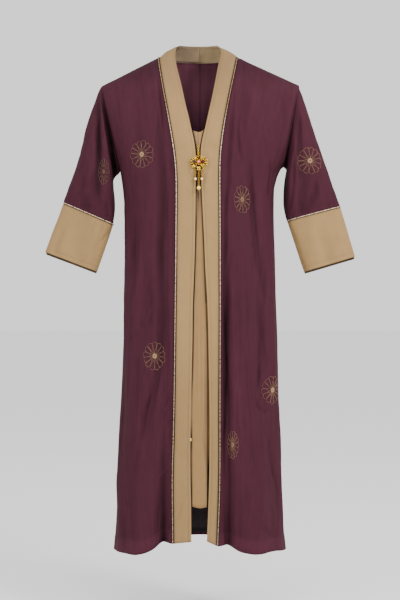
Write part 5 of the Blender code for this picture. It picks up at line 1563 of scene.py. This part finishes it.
petalStitch = {"Spacing": 0.0019, "Length": 0.0028, "Thickness": 0.00088, "Slant": 0.40, "Sides": 5,
               "Rings": 4}
heartStitch = {"Spacing": 0.0014, "Length": 0.0022, "Thickness": 0.0016, "Slant": 0.3, "Sides": 5,
               "Rings": 4}
heartRings = [0.0024, 0.0036, 0.0048, 0.0060]
# How the cloth is walked from a flower's middle: rays, step, and how far past the petals
walk = {"rays": 48, "step": 0.003, "past": 0.006}


def surfaceTree(names):
    points = []
    faces = []
    for name in names:
        grid = surfaces[name][0]
        rows, columns = grid.shape[:2]
        first = len(points)
        points += grid.reshape(-1, 3).tolist()
        for r in range(rows - 1):
            low = first + r * columns
            high = low + columns
            for c in range(columns if name.startswith("sleeve") else columns - 1):
                d = (c + 1) % columns
                faces.append((low + c, low + d, high + d, high + c))
    return BVHTree.FromPolygons(points, faces)


def eyeRay(column, row):
    eye = Vector((0, -picture["distance"], picture["eyeHeight"]))
    x = (column - picture["column"]) * picture["pixel"]
    aim = Vector((x, 0, picture["eyeHeight"] + (picture["row"] - row) * picture["pixel"]))
    return eye, (aim - eye).normalized()


def walkOut(tree, start, normal, heading, reach):
    # steps along the cloth from one point; returns the points passed and their normals
    found = [(start, normal)]
    point = start
    for _ in range(int(reach / walk["step"])):
        heading = (heading - normal * heading.dot(normal)).normalized()
        spot, lean, _, _ = tree.find_nearest(point + heading * walk["step"])
        if spot is None:
            break
        lean = lean if lean.dot(normal) > 0 else -lean
        heading = normal.rotation_difference(lean) @ heading
        point = spot
        normal = lean
        found.append((point, normal))
    return found


def flowerPatch(tree, flower):
    # rays along the cloth from the middle, so a point (across, up) of the flower can be laid on the folds
    eye, aim = eyeRay(flower["column"], flower["row"])
    start, normal, _, _ = tree.ray_cast(eye, aim)
    normal = normal if normal.dot(aim) < 0 else -normal
    up = (Vector((0, 0, 1)) - normal * normal.z).normalized()
    aside = up.cross(normal).normalized()
    rays = []
    for k in range(walk["rays"]):
        turn = 2 * math.pi * k / walk["rays"]
        heading = up * math.cos(turn) + aside * math.sin(turn)
        rays.append(walkOut(tree, start, normal, heading, flower["radius"] + walk["past"]))
    return rays


def layOn(rays, across, up):
    # the point of the cloth that many metres across and up from the flower's middle
    turn = math.atan2(across, up) % (2 * math.pi) / (2 * math.pi) * len(rays)
    reach = math.hypot(across, up) / walk["step"]
    spots = []
    for ray in (rays[int(turn) % len(rays)], rays[(int(turn) + 1) % len(rays)]):
        k = min(int(reach), len(ray) - 2)
        t = min(reach - k, 1.0)
        spots.append([ray[k][c].lerp(ray[k + 1][c], t) for c in range(2)])
    point, normal = [spots[0][c].lerp(spots[1][c], turn - int(turn)) for c in range(2)]
    return point + normal.normalized() * petalShape["lift"]


def petalPoints(flower, k):
    # a loop from the heart out and back, narrow at its foot and round at its end
    chance = np.random.default_rng(100 * k + int(flower["column"]))
    reach = flower["radius"] * chance.uniform(0.95, 1.03)
    inner = flower.get("inner", petalShape["inner"])
    wide = petalShape["wide"] * chance.uniform(0.93, 1.06)
    heading = flower["turn"] + 2 * math.pi * k / petalShape["count"] + chance.uniform(-0.03, 0.03)
    c, s = math.cos(heading), math.sin(heading)
    found = []
    for phi in np.linspace(-math.pi, math.pi, 61):
        along = math.cos(phi / 2) ** 2
        out = inner + (reach - inner) * along ** petalShape["tip"]
        aside = wide / 2 * math.sin(phi) * along ** petalShape["narrowing"]
        found.append(((out * s + aside * c) * flower["show"], out * c - aside * s))
    return found


def sewFlower(index, flower):
    rays = flowerPatch(surfaceTree(flower["on"]), flower)
    loops = [[layOn(rays, *point) for point in petalPoints(flower, k)] for k in range(petalShape["count"])]
    circles = []
    for ring in heartRings:
        turns = np.linspace(0, 2 * math.pi, 25)
        circles.append([layOn(rays, flower["show"] * ring * math.sin(t), ring * math.cos(t)) for t in turns])
    # the flower in the sleeve's deep fold gets the darker copy of the thread, as painted shade
    thread = "shadedFlowerThread" if flower["on"] == ["sleeveRight"] else "flowerThread"
    heartThread = "flowerHeart" if flower["show"] > 0.7 else thread
    parts = ((f"flower{index}", loops, petalStitch, index, thread),
             (f"flowerHeart{index}", circles, heartStitch, index + 20, heartThread))
    for name, lines, stitch, seed, colour in parts:
        values = {**stitch, "Seed": seed, "Thread": threads[colour]}
        settle(growAlong(name, lines, sewing, values))


for index, flower in enumerate(flowers):
    sewFlower(index + 1, flower)
print("flowers sewn")

# The brooch: a chain, fans of petals, three stones, a leaf, a flower and three hanging drops
brooch = {"frontY": -0.10767, "middle": -0.0034, "chainAt": -0.0042,
          "chain": [-0.2505, -0.2587, -0.2669, -0.2745], "flower": (-0.0034, -0.3066), "bead": 0.0019,
          "beadSpacing": 0.0044, "ring": 0.0016, "wire": 0.00045, "play": 0.0011, "thick": 0.0022,
          "plateMiddle": -0.2930}
# Reach of the plate behind the petals at each twelfth of a turn, from the wearer's left
plateReach = [0.02, 0.0195, 0.016, 0.0105, 0.016, 0.02, 0.022, 0.019, 0.0165, 0.0145, 0.016, 0.0185]
# Stones: finish, slot, x, z, radius, height, beads round it
stones = {
    "Centre": ("orangeGlass", "orange_stone", -0.0036, -0.2896, 0.0056, 0.0042, 16),
    "Right": ("darkGlass", "dark_stone", -0.0150, -0.2890, 0.0038, 0.0030, 13),
    "Left": ("redGlass", "red_stone", 0.0078, -0.2890, 0.0038, 0.0030, 13),
}
# Drops: hinge x, y, z, length to the pearl's middle, pearl radius, tip
drops = {
    "Right": (-0.0117, -0.11017, -0.3112, 0.0229, 0.0043, 0.0012),
    "Left": (0.0048, -0.11017, -0.3112, 0.0227, 0.0043, 0.0012),
    "Centre": (-0.0032, -0.11657, -0.3128, 0.0447, 0.0051, 0.0022),
}
front = brooch["frontY"]


def around(count, start=0.0):
    return [start + 2 * math.pi * k / count for k in range(count)]


def turnedShape(profile, count, axis="y"):
    # a closed shape turned round an axis; profile is (radius, along) from end to end, both ends on the axis
    points = []
    faces = []
    rings = []
    for radius, along in profile:
        if radius < 1e-9:
            rings.append([len(points)])
            points.append((0.0, 0.0, along))
            continue
        rings.append(list(range(len(points), len(points) + count)))
        points += [(radius * math.cos(turn), radius * math.sin(turn), along) for turn in around(count)]
    for low, high in zip(rings[:-1], rings[1:]):
        for k in range(count):
            n = (k + 1) % count
            if len(low) == 1:
                faces.append((low[0], high[n], high[k]))
            elif len(high) == 1:
                faces.append((low[k], low[n], high[0]))
            else:
                faces.append((low[k], low[n], high[n], high[k]))
    if profile[0][1] > profile[-1][1]:
        faces = [face[::-1] for face in faces]
    points = np.array(points)
    if axis == "y":
        # along runs out towards the viewer
        points = np.stack([points[:, 0], -points[:, 2], points[:, 1]], axis=1)
    return points, faces


def ballProfile(radius, rows=8):
    turns = [math.pi * k / rows for k in range(rows + 1)]
    return [(radius * math.sin(turn), -radius * math.cos(turn)) for turn in turns]


def joinShapes(name, shapes, finish, smooth=True):
    points = []
    faces = []
    for shapePoints, shapeFaces, place in shapes:
        first = len(points)
        points += (np.asarray(shapePoints) + np.asarray(place)).tolist()
        faces += [tuple(first + k for k in face) for face in shapeFaces]
    return addMesh(name, points, faces, finish, smooth)


def tubeAlong(line, radius, count=8, closed=False):
    # a round wire along points
    line = np.asarray(line, float)
    if closed:
        tangent = unit(np.roll(line, -1, axis=0) - np.roll(line, 1, axis=0))
    else:
        tangent = unit(np.gradient(line, axis=0))
    radii = np.broadcast_to(radius, (len(line),))[:, None, None]
    aside = unit(np.cross(tangent, np.array([0.13, 1.0, 0.07])))
    other = np.cross(tangent, aside)
    turns = (2 * math.pi * np.arange(count) / count)[None, :, None]
    rings = line[:, None] + radii * (aside[:, None] * np.cos(turns) + other[:, None] * np.sin(turns))
    faces = []
    for r in range(len(line) if closed else len(line) - 1):
        a = r * count
        c = (r + 1) % len(line) * count
        for k in range(count):
            n = (k + 1) % count
            faces.append((a + k, a + n, c + n, c + k))
    if not closed:
        faces.append(tuple(range(count - 1, -1, -1)))
        faces.append(tuple(range((len(line) - 1) * count, len(line) * count)))
    return rings.reshape(-1, 3), faces


def circleLine(x, y, z, radius, count=20):
    turns = 2 * math.pi * np.arange(count) / count
    return np.stack([x + radius * np.cos(turns), y + 0 * turns, z + radius * np.sin(turns)], axis=1)


# shapes in polished gold, in gold with painted highlight and in gold with painted shade
goldShapes = []
highlightShapes = []
shadedShapes = []
beadBall = turnedShape(ballProfile(0.5, 6), 8)


def put(shapes, shape, place=(0, 0, 0)):
    shapes.append((*shape, place))


def addBead(shapes, x, y, z, radius):
    put(shapes, (beadBall[0] * radius * 2, beadBall[1]), (x, y, z))


def addRing(shapes, x, y, z, radius, wire, narrow=1.0, facing="front"):
    # a link of round wire, seen round or from its side
    line = circleLine(0, 0, 0, radius, 18)
    line[:, 0] *= narrow
    if facing == "side":
        line = line[:, [1, 0, 2]]
    put(shapes, tubeAlong(line + (x, y, z), wire, 7, True))


def makeChain():
    # full round links, each pair joined by one that is seen from its side
    x = brooch["chainAt"]
    for height in brooch["chain"]:
        addRing(goldShapes, x, front - 0.0004, height, 0.0023, 0.0011)
    for upper, lower in zip(brooch["chain"][:-1], brooch["chain"][1:]):
        addRing(goldShapes, x, front, (upper + lower) / 2, 0.0027, 0.0010, 0.6, "side")
        # a bead in gold with painted highlight where two links meet
        addBead(highlightShapes, x, front - 0.0020, (upper + lower) / 2, 0.0014)


# Along a petal: share of its length, share of its width
petalRows = [(0.0, 0.30), (0.25, 0.60), (0.5, 0.85), (0.72, 1.0), (0.9, 0.85), (1.0, 0.30)]


def fanPetal(x, z, turn, long, wide):
    # a domed drop shape: narrow at the heart, round at its end
    points = []
    for share, fat in petalRows:
        for k in range(7):
            a = math.pi * k / 6
            points.append((wide / 2 * fat * math.cos(a), long * share, 0.0016 * fat * math.sin(a)))
    faces = []
    for r in range(len(petalRows) - 1):
        faces += [(r * 7 + k, r * 7 + k + 1, (r + 1) * 7 + k + 1, (r + 1) * 7 + k) for k in range(6)]
        faces.append((r * 7 + 6, r * 7, (r + 1) * 7, (r + 1) * 7 + 6))
    faces.append(tuple(range(6, -1, -1)))
    faces.append(tuple(range((len(petalRows) - 1) * 7, len(petalRows) * 7)))
    across, along, rise = np.array(points).T
    c, s = math.cos(turn), math.sin(turn)
    found = np.stack([x + across * c + along * s, front - rise, z - across * s + along * c], axis=1)
    return found, [face[::-1] for face in faces]


# Fans of ribbed petals: heart x and z, first and last turn, number, length, width
fans = [
    (-0.0105, -0.2905, -1.90, 0.10, 8, 0.0155, 0.0024),
    (0.0042, -0.2905, -0.10, 1.95, 8, 0.0160, 0.0024),
    (0.0015, -0.2965, 1.75, 2.65, 4, 0.0130, 0.0022),
    (-0.0085, -0.2965, -2.65, -2.30, 2, 0.0105, 0.0019),
]


def makeFans():
    for x, z, first, last, count, long, wide in fans:
        for k in range(count):
            turn = first + (last - first) * k / (count - 1)
            petal = fanPetal(x, z, turn, long * (0.97 + 0.03 * (-1) ** k), wide)
            # every other petal and each tip bead are in gold with painted highlight
            put(highlightShapes if k % 2 == 0 else goldShapes, petal)
            addBead(highlightShapes, x + long * math.sin(turn), front - 0.0009, z + long * math.cos(turn), 0.00115)


def setStone(key):
    # a stone in a claw setting, in a ring of small beads
    finish, slotName, x, z, radius, tall, beads = stones[key]
    y = front - 0.0006
    rim = radius * 1.14
    seat = [(0, -0.0010), (rim, -0.0010), (rim, 0.0008), (radius * 0.9, 0.0014), (0, 0.0014)]
    put(goldShapes, turnedShape(seat, 28), (x, y, z))
    # a ring of gold with painted shade round the stone
    addRing(shadedShapes, x, y - 0.0012, z, radius * 1.06, 0.0005)
    for turn in around(beads):
        reach = radius * 1.20
        addBead(goldShapes, x + reach * math.cos(turn), y - 0.0006, z + reach * math.sin(turn), 0.0007)
    for k in range(4):
        turn = math.pi / 4 + math.pi / 2 * k
        claw = []
        for out, rise in ((1.1, 0.0008), (1.08, 0.0018), (0.84, 0.0028)):
            claw.append((x + radius * out * math.cos(turn), y - rise, z + radius * out * math.sin(turn)))
        put(goldShapes, tubeAlong(claw, np.array([0.0006, 0.0006, 0.0004]), 6))
    crown = tall * 0.76
    profile = [(0, 0.0002), (radius * 0.99, 0.0004), (radius * 1.0, 0.0014), (radius * 0.74, tall * 0.62),
               (radius * 0.40, crown), (0, crown)]
    stone = [(*turnedShape(profile, 9), (x, y - 0.0004, z))]
    settle(joinShapes("stone" + key, stone, glass[finish], False), "stone_" + key.lower())
    if key == "Centre":
        # a painted highlight: a white glint on the top of the centre stone
        table = turnedShape([(0, 0.0), (radius * 0.34, 0.0), (radius * 0.28, 0.0005), (0, 0.0006)], 9)
        sparkle = [(*table, (x, y - 0.0004 - crown, z + 0.0002))]
        settle(joinShapes("stoneGlint", sparkle, glass["glintGlass"], False))


# the pale edge of a press stud in the slit between the right band and the insert,
# in gold with painted highlight
stud = {"x": -0.0262, "y": -0.0912, "z": -1.0060, "radius": 0.0052, "tall": 0.0030}


def makeStud():
    wide, tall = stud["radius"], stud["tall"]
    profile = [(0, 0.0), (wide, 0.0), (wide, tall * 0.5), (wide * 0.7, tall), (0, tall)]
    shape = (*turnedShape(profile, 20), (stud["x"], stud["y"], stud["z"]))
    settle(joinShapes("pressStud", [shape], threads["highlightGold"]))


# Small leaves round the middle: turn, length
leaves = [(-2.5, 0.0075), (-1.2, 0.0060), (1.2, 0.0060), (2.5, 0.0075), (-0.5, 0.0070), (0.5, 0.0070)]
leaf = {"x": -0.0122, "z": -0.2985, "turn": -2.05, "long": 0.0115, "wide": 0.0098,
        "veins": (-0.42, -0.22, 0.0, 0.22, 0.42)}


def makeLeaves():
    # small leaves and a scrolling row of beads fill the middle
    for turn, long in leaves:
        x = brooch["middle"] + 0.0055 * math.sin(turn)
        put(goldShapes, fanPetal(x, -0.2900 + 0.0055 * math.cos(turn), turn, long, 0.0040))
    for k in range(9):
        z = -0.2958 - 0.0012 * math.cos(k * 1.3)
        # every other bead is in gold with painted highlight
        addBead(goldShapes if k % 2 else highlightShapes, -0.0160 + 0.0031 * k, front - 0.0010, z, 0.0015)
    # the leaf at the lower left, with veins
    put(goldShapes, fanPetal(leaf["x"], leaf["z"], leaf["turn"], leaf["long"], leaf["wide"]))
    for side in leaf["veins"]:
        turn = leaf["turn"] + side
        vein = []
        for out, rise in ((0.1, 0.0011), (0.55, 0.0017), (0.9, 0.0012)):
            reach = leaf["long"] * out
            x = leaf["x"] + reach * math.sin(turn)
            vein.append((x, front - rise, leaf["z"] + reach * math.cos(turn)))
        # the veins are in gold with painted highlight
        put(highlightShapes, tubeAlong(vein, 0.0004, 6))


# A round petal's profile, turned: radius, height
roundPetal = [(0, 0.0), (0.0024, 0.0002), (0.0026, 0.0010), (0.0018, 0.0020), (0.0008, 0.0016), (0, 0.0012)]


def makeFlower():
    # the four-petal flower at the foot, over the place where the middle drop hangs
    x, z = brooch["flower"]
    for k in range(4):
        turn = math.pi / 4 + math.pi / 2 * k
        place = (x + 0.0037 * math.sin(turn), front - 0.0006, z + 0.0037 * math.cos(turn))
        # the petals are in gold with painted highlight
        put(highlightShapes, turnedShape(roundPetal, 16), place)
    addRing(goldShapes, x, front - 0.0022, z, 0.0016, 0.0008)
    addBead(goldShapes, x, front - 0.0020, z, 0.0012)


def makePlate(count=48):
    # the thin plate that carries them all, in gold with painted shade, dark in the gaps between the petals
    turns = 2 * math.pi * np.arange(count) / count
    reach = np.interp(np.arange(count) * 12 / count, np.arange(13), [*plateReach, plateReach[0]])
    x = brooch["middle"] + reach * np.cos(turns)
    rim = np.stack([x, np.zeros(count), brooch["plateMiddle"] + reach * np.sin(turns)], axis=1)
    points = np.concatenate([rim + (0, front + brooch["thick"], 0), rim + (0, front + 0.0004, 0)])
    faces = [tuple(range(count)), tuple(range(2 * count - 1, count - 1, -1))]
    faces += [(k, k + count, (k + 1) % count + count, (k + 1) % count) for k in range(count)]
    put(shadedShapes, (points, [face[::-1] for face in faces]))


# Profiles of a drop's parts, turned: radius, height
dropCap = [(0, -0.0004), (0.0021, -0.0011), (0.0023, -0.0010), (0.0018, 0.0002), (0.0008, 0.0010),
           (0, 0.0010)]
dropCollar = [(0, -0.0002), (0.0009, -0.0002), (0.0009, 0.0002), (0, 0.0002)]


def makeDrop(key):
    x, y, z, length, pearl, tip = drops[key]
    ring, wire = brooch["ring"], brooch["wire"]
    # its fixed ring and the arm that holds it
    fixed = circleLine(x, y, z + ring, ring, 18)
    fixed = np.stack([np.full(18, x), y + (fixed[:, 0] - x), fixed[:, 2]], axis=1)
    put(goldShapes, tubeAlong(fixed, wire, 7, True))
    over = z + 2 * ring
    arm = [(x, front + 0.001, over + 0.0006), (x, (front + y) / 2, over + 0.0010), (x, y, over + 0.0003)]
    put(goldShapes, tubeAlong(arm, np.array([0.0011, 0.0010, 0.0007]), 8))
    # what swings: ring, wire, beads, cap, pearl and foot
    gold = []
    dark = []
    top = z + brooch["play"] - 2 * ring
    upper = z + pearl - length
    lower = z - pearl - length
    put(gold, tubeAlong(circleLine(x, y, z + brooch["play"] - ring, ring, 18), wire, 7, True))
    # the wire and the collars between the beads are in gold with painted shade
    put(dark, tubeAlong([(x, y, top + 0.0003), (x, y, (top + lower) / 2), (x, y, lower - 0.0002)], wire, 7))
    if key != "Centre":
        put(gold, tubeAlong(circleLine(x, y - 0.0022, z - length, pearl - 0.0008, 24), 0.0009, 6, True))
    beads = int((top - upper - 0.0022) / brooch["beadSpacing"])
    spacing = (top - upper - 0.0020) / beads
    for k in range(beads):
        height = top - 0.0004 - spacing * (k + 0.5)
        fat = brooch["bead"] * (1.3 if key == "Centre" and k < 3 else 1.0)
        profile = [(r * fat / 0.5, a * 0.0034) for r, a in ballProfile(0.5, 8)]
        put(gold, turnedShape(profile, 12, "z"), (x, y, height))
        for offset in (-0.0016, 0.0016):
            put(dark, turnedShape(dropCollar, 10, "z"), (x, y, height + offset))
    put(gold, turnedShape(dropCap, 16, "z"), (x, y, upper + 0.0003))
    foot = [(0, -tip - 0.0002), (0.0007, -tip + 0.0004), (0.0012, -0.0005), (0.0014, 0.0003), (0, 0.0003)]
    put(gold, turnedShape(foot, 14, "z"), (x, y, lower))
    ball = [(*turnedShape(ballProfile(pearl, 16), 28, "z"), (x, y, z - length))]
    coat = glass["goldenPearl" if key == "Centre" else "pearlCoat"]
    body = "drop_" + key.lower()
    settle(joinShapes("drop" + key, gold, threads["polishedGold"]), body, body)
    settle(joinShapes("pearl" + key, ball, coat), "pearl_" + key.lower(), body)
    settle(joinShapes("wire" + key, dark, threads["shadedGold"]), None, body)


makeChain()
makeFans()
for key in stones:
    setStone(key)
makeStud()
makeLeaves()
makeFlower()
makePlate()
for key in drops:
    makeDrop(key)
settle(joinShapes("goldWork", goldShapes, threads["polishedGold"]), "brooch_plate")
# the gold with painted highlight, and the gold with painted shade
settle(joinShapes("highlightGoldWork", highlightShapes, threads["highlightGold"]))
settle(joinShapes("shadedGoldWork", shadedShapes, threads["shadedGold"]))
print("brooch made")

# The floor, the pale surroundings, soft lamps and the camera of the photograph
studio = {
    "floorHeight": -1.50,
    "floorReach": 30.0,
    "floorColour": (0.93, 0.93, 0.93, 1),
    "world": (1.0, 1.0, 1.0, 1),
    "worldStrength": 1.25,
    "aim": (0, 0, -0.35),
    # name, place, size, power, colour
    "lamps": [
        ("keyLamp", (2.1, -2.1, 1.1), 0.9, 84.0, (1.0, 0.985, 0.965)),
        ("fillLamp", (-2.3, -2.1, 0.8), 1.2, 30.0, (0.97, 0.985, 1.0)),
        ("topLamp", (0.2, -1.2, 1.6), 1.4, 24.0, (1.0, 1.0, 1.0)),
    ],
}


def makeFloor():
    wide, height = studio["floorReach"], studio["floorHeight"]
    material, tree, shader = newFinish("paleFloor")
    feed(tree, shader, {"Base Color": studio["floorColour"], "Roughness": 0.9})
    corners = [(-wide, -wide, height), (wide, -wide, height), (wide, wide, height), (-wide, wide, height)]
    addMesh("floor", corners, [(0, 1, 2, 3)], material, False)


def makeLight():
    world = bpy.data.worlds.new("paleWorld")
    world.use_nodes = True
    feeds = {"Color": studio["world"], "Strength": studio["worldStrength"]}
    feed(world.node_tree, world.node_tree.nodes["Background"], feeds)
    bpy.context.scene.world = world
    for name, place, size, power, colour in studio["lamps"]:
        lamp = bpy.data.lights.new(name, "AREA")
        lamp.shape = "DISK"
        lamp.size = size
        lamp.energy = power
        lamp.color = colour
        made = addObject(name, lamp)
        made.location = place
        made.rotation_euler = (Vector(studio["aim"]) - Vector(place)).to_track_quat("-Z", "Y").to_euler()


def makeCamera():
    lens = bpy.data.cameras.new("photoCamera")
    lens.sensor_fit = "VERTICAL"
    lens.sensor_height = picture["sensor"]
    lens.lens = picture["sensor"] * picture["distance"] / (picture["tall"] * picture["pixel"])
    camera = addObject("photoCamera", lens)
    camera.location = (0, -picture["distance"], picture["eyeHeight"])
    camera.rotation_euler = (math.pi / 2, 0, 0)
    bpy.context.scene.camera = camera


makeFloor()
makeLight()
makeCamera()
print("stage set")
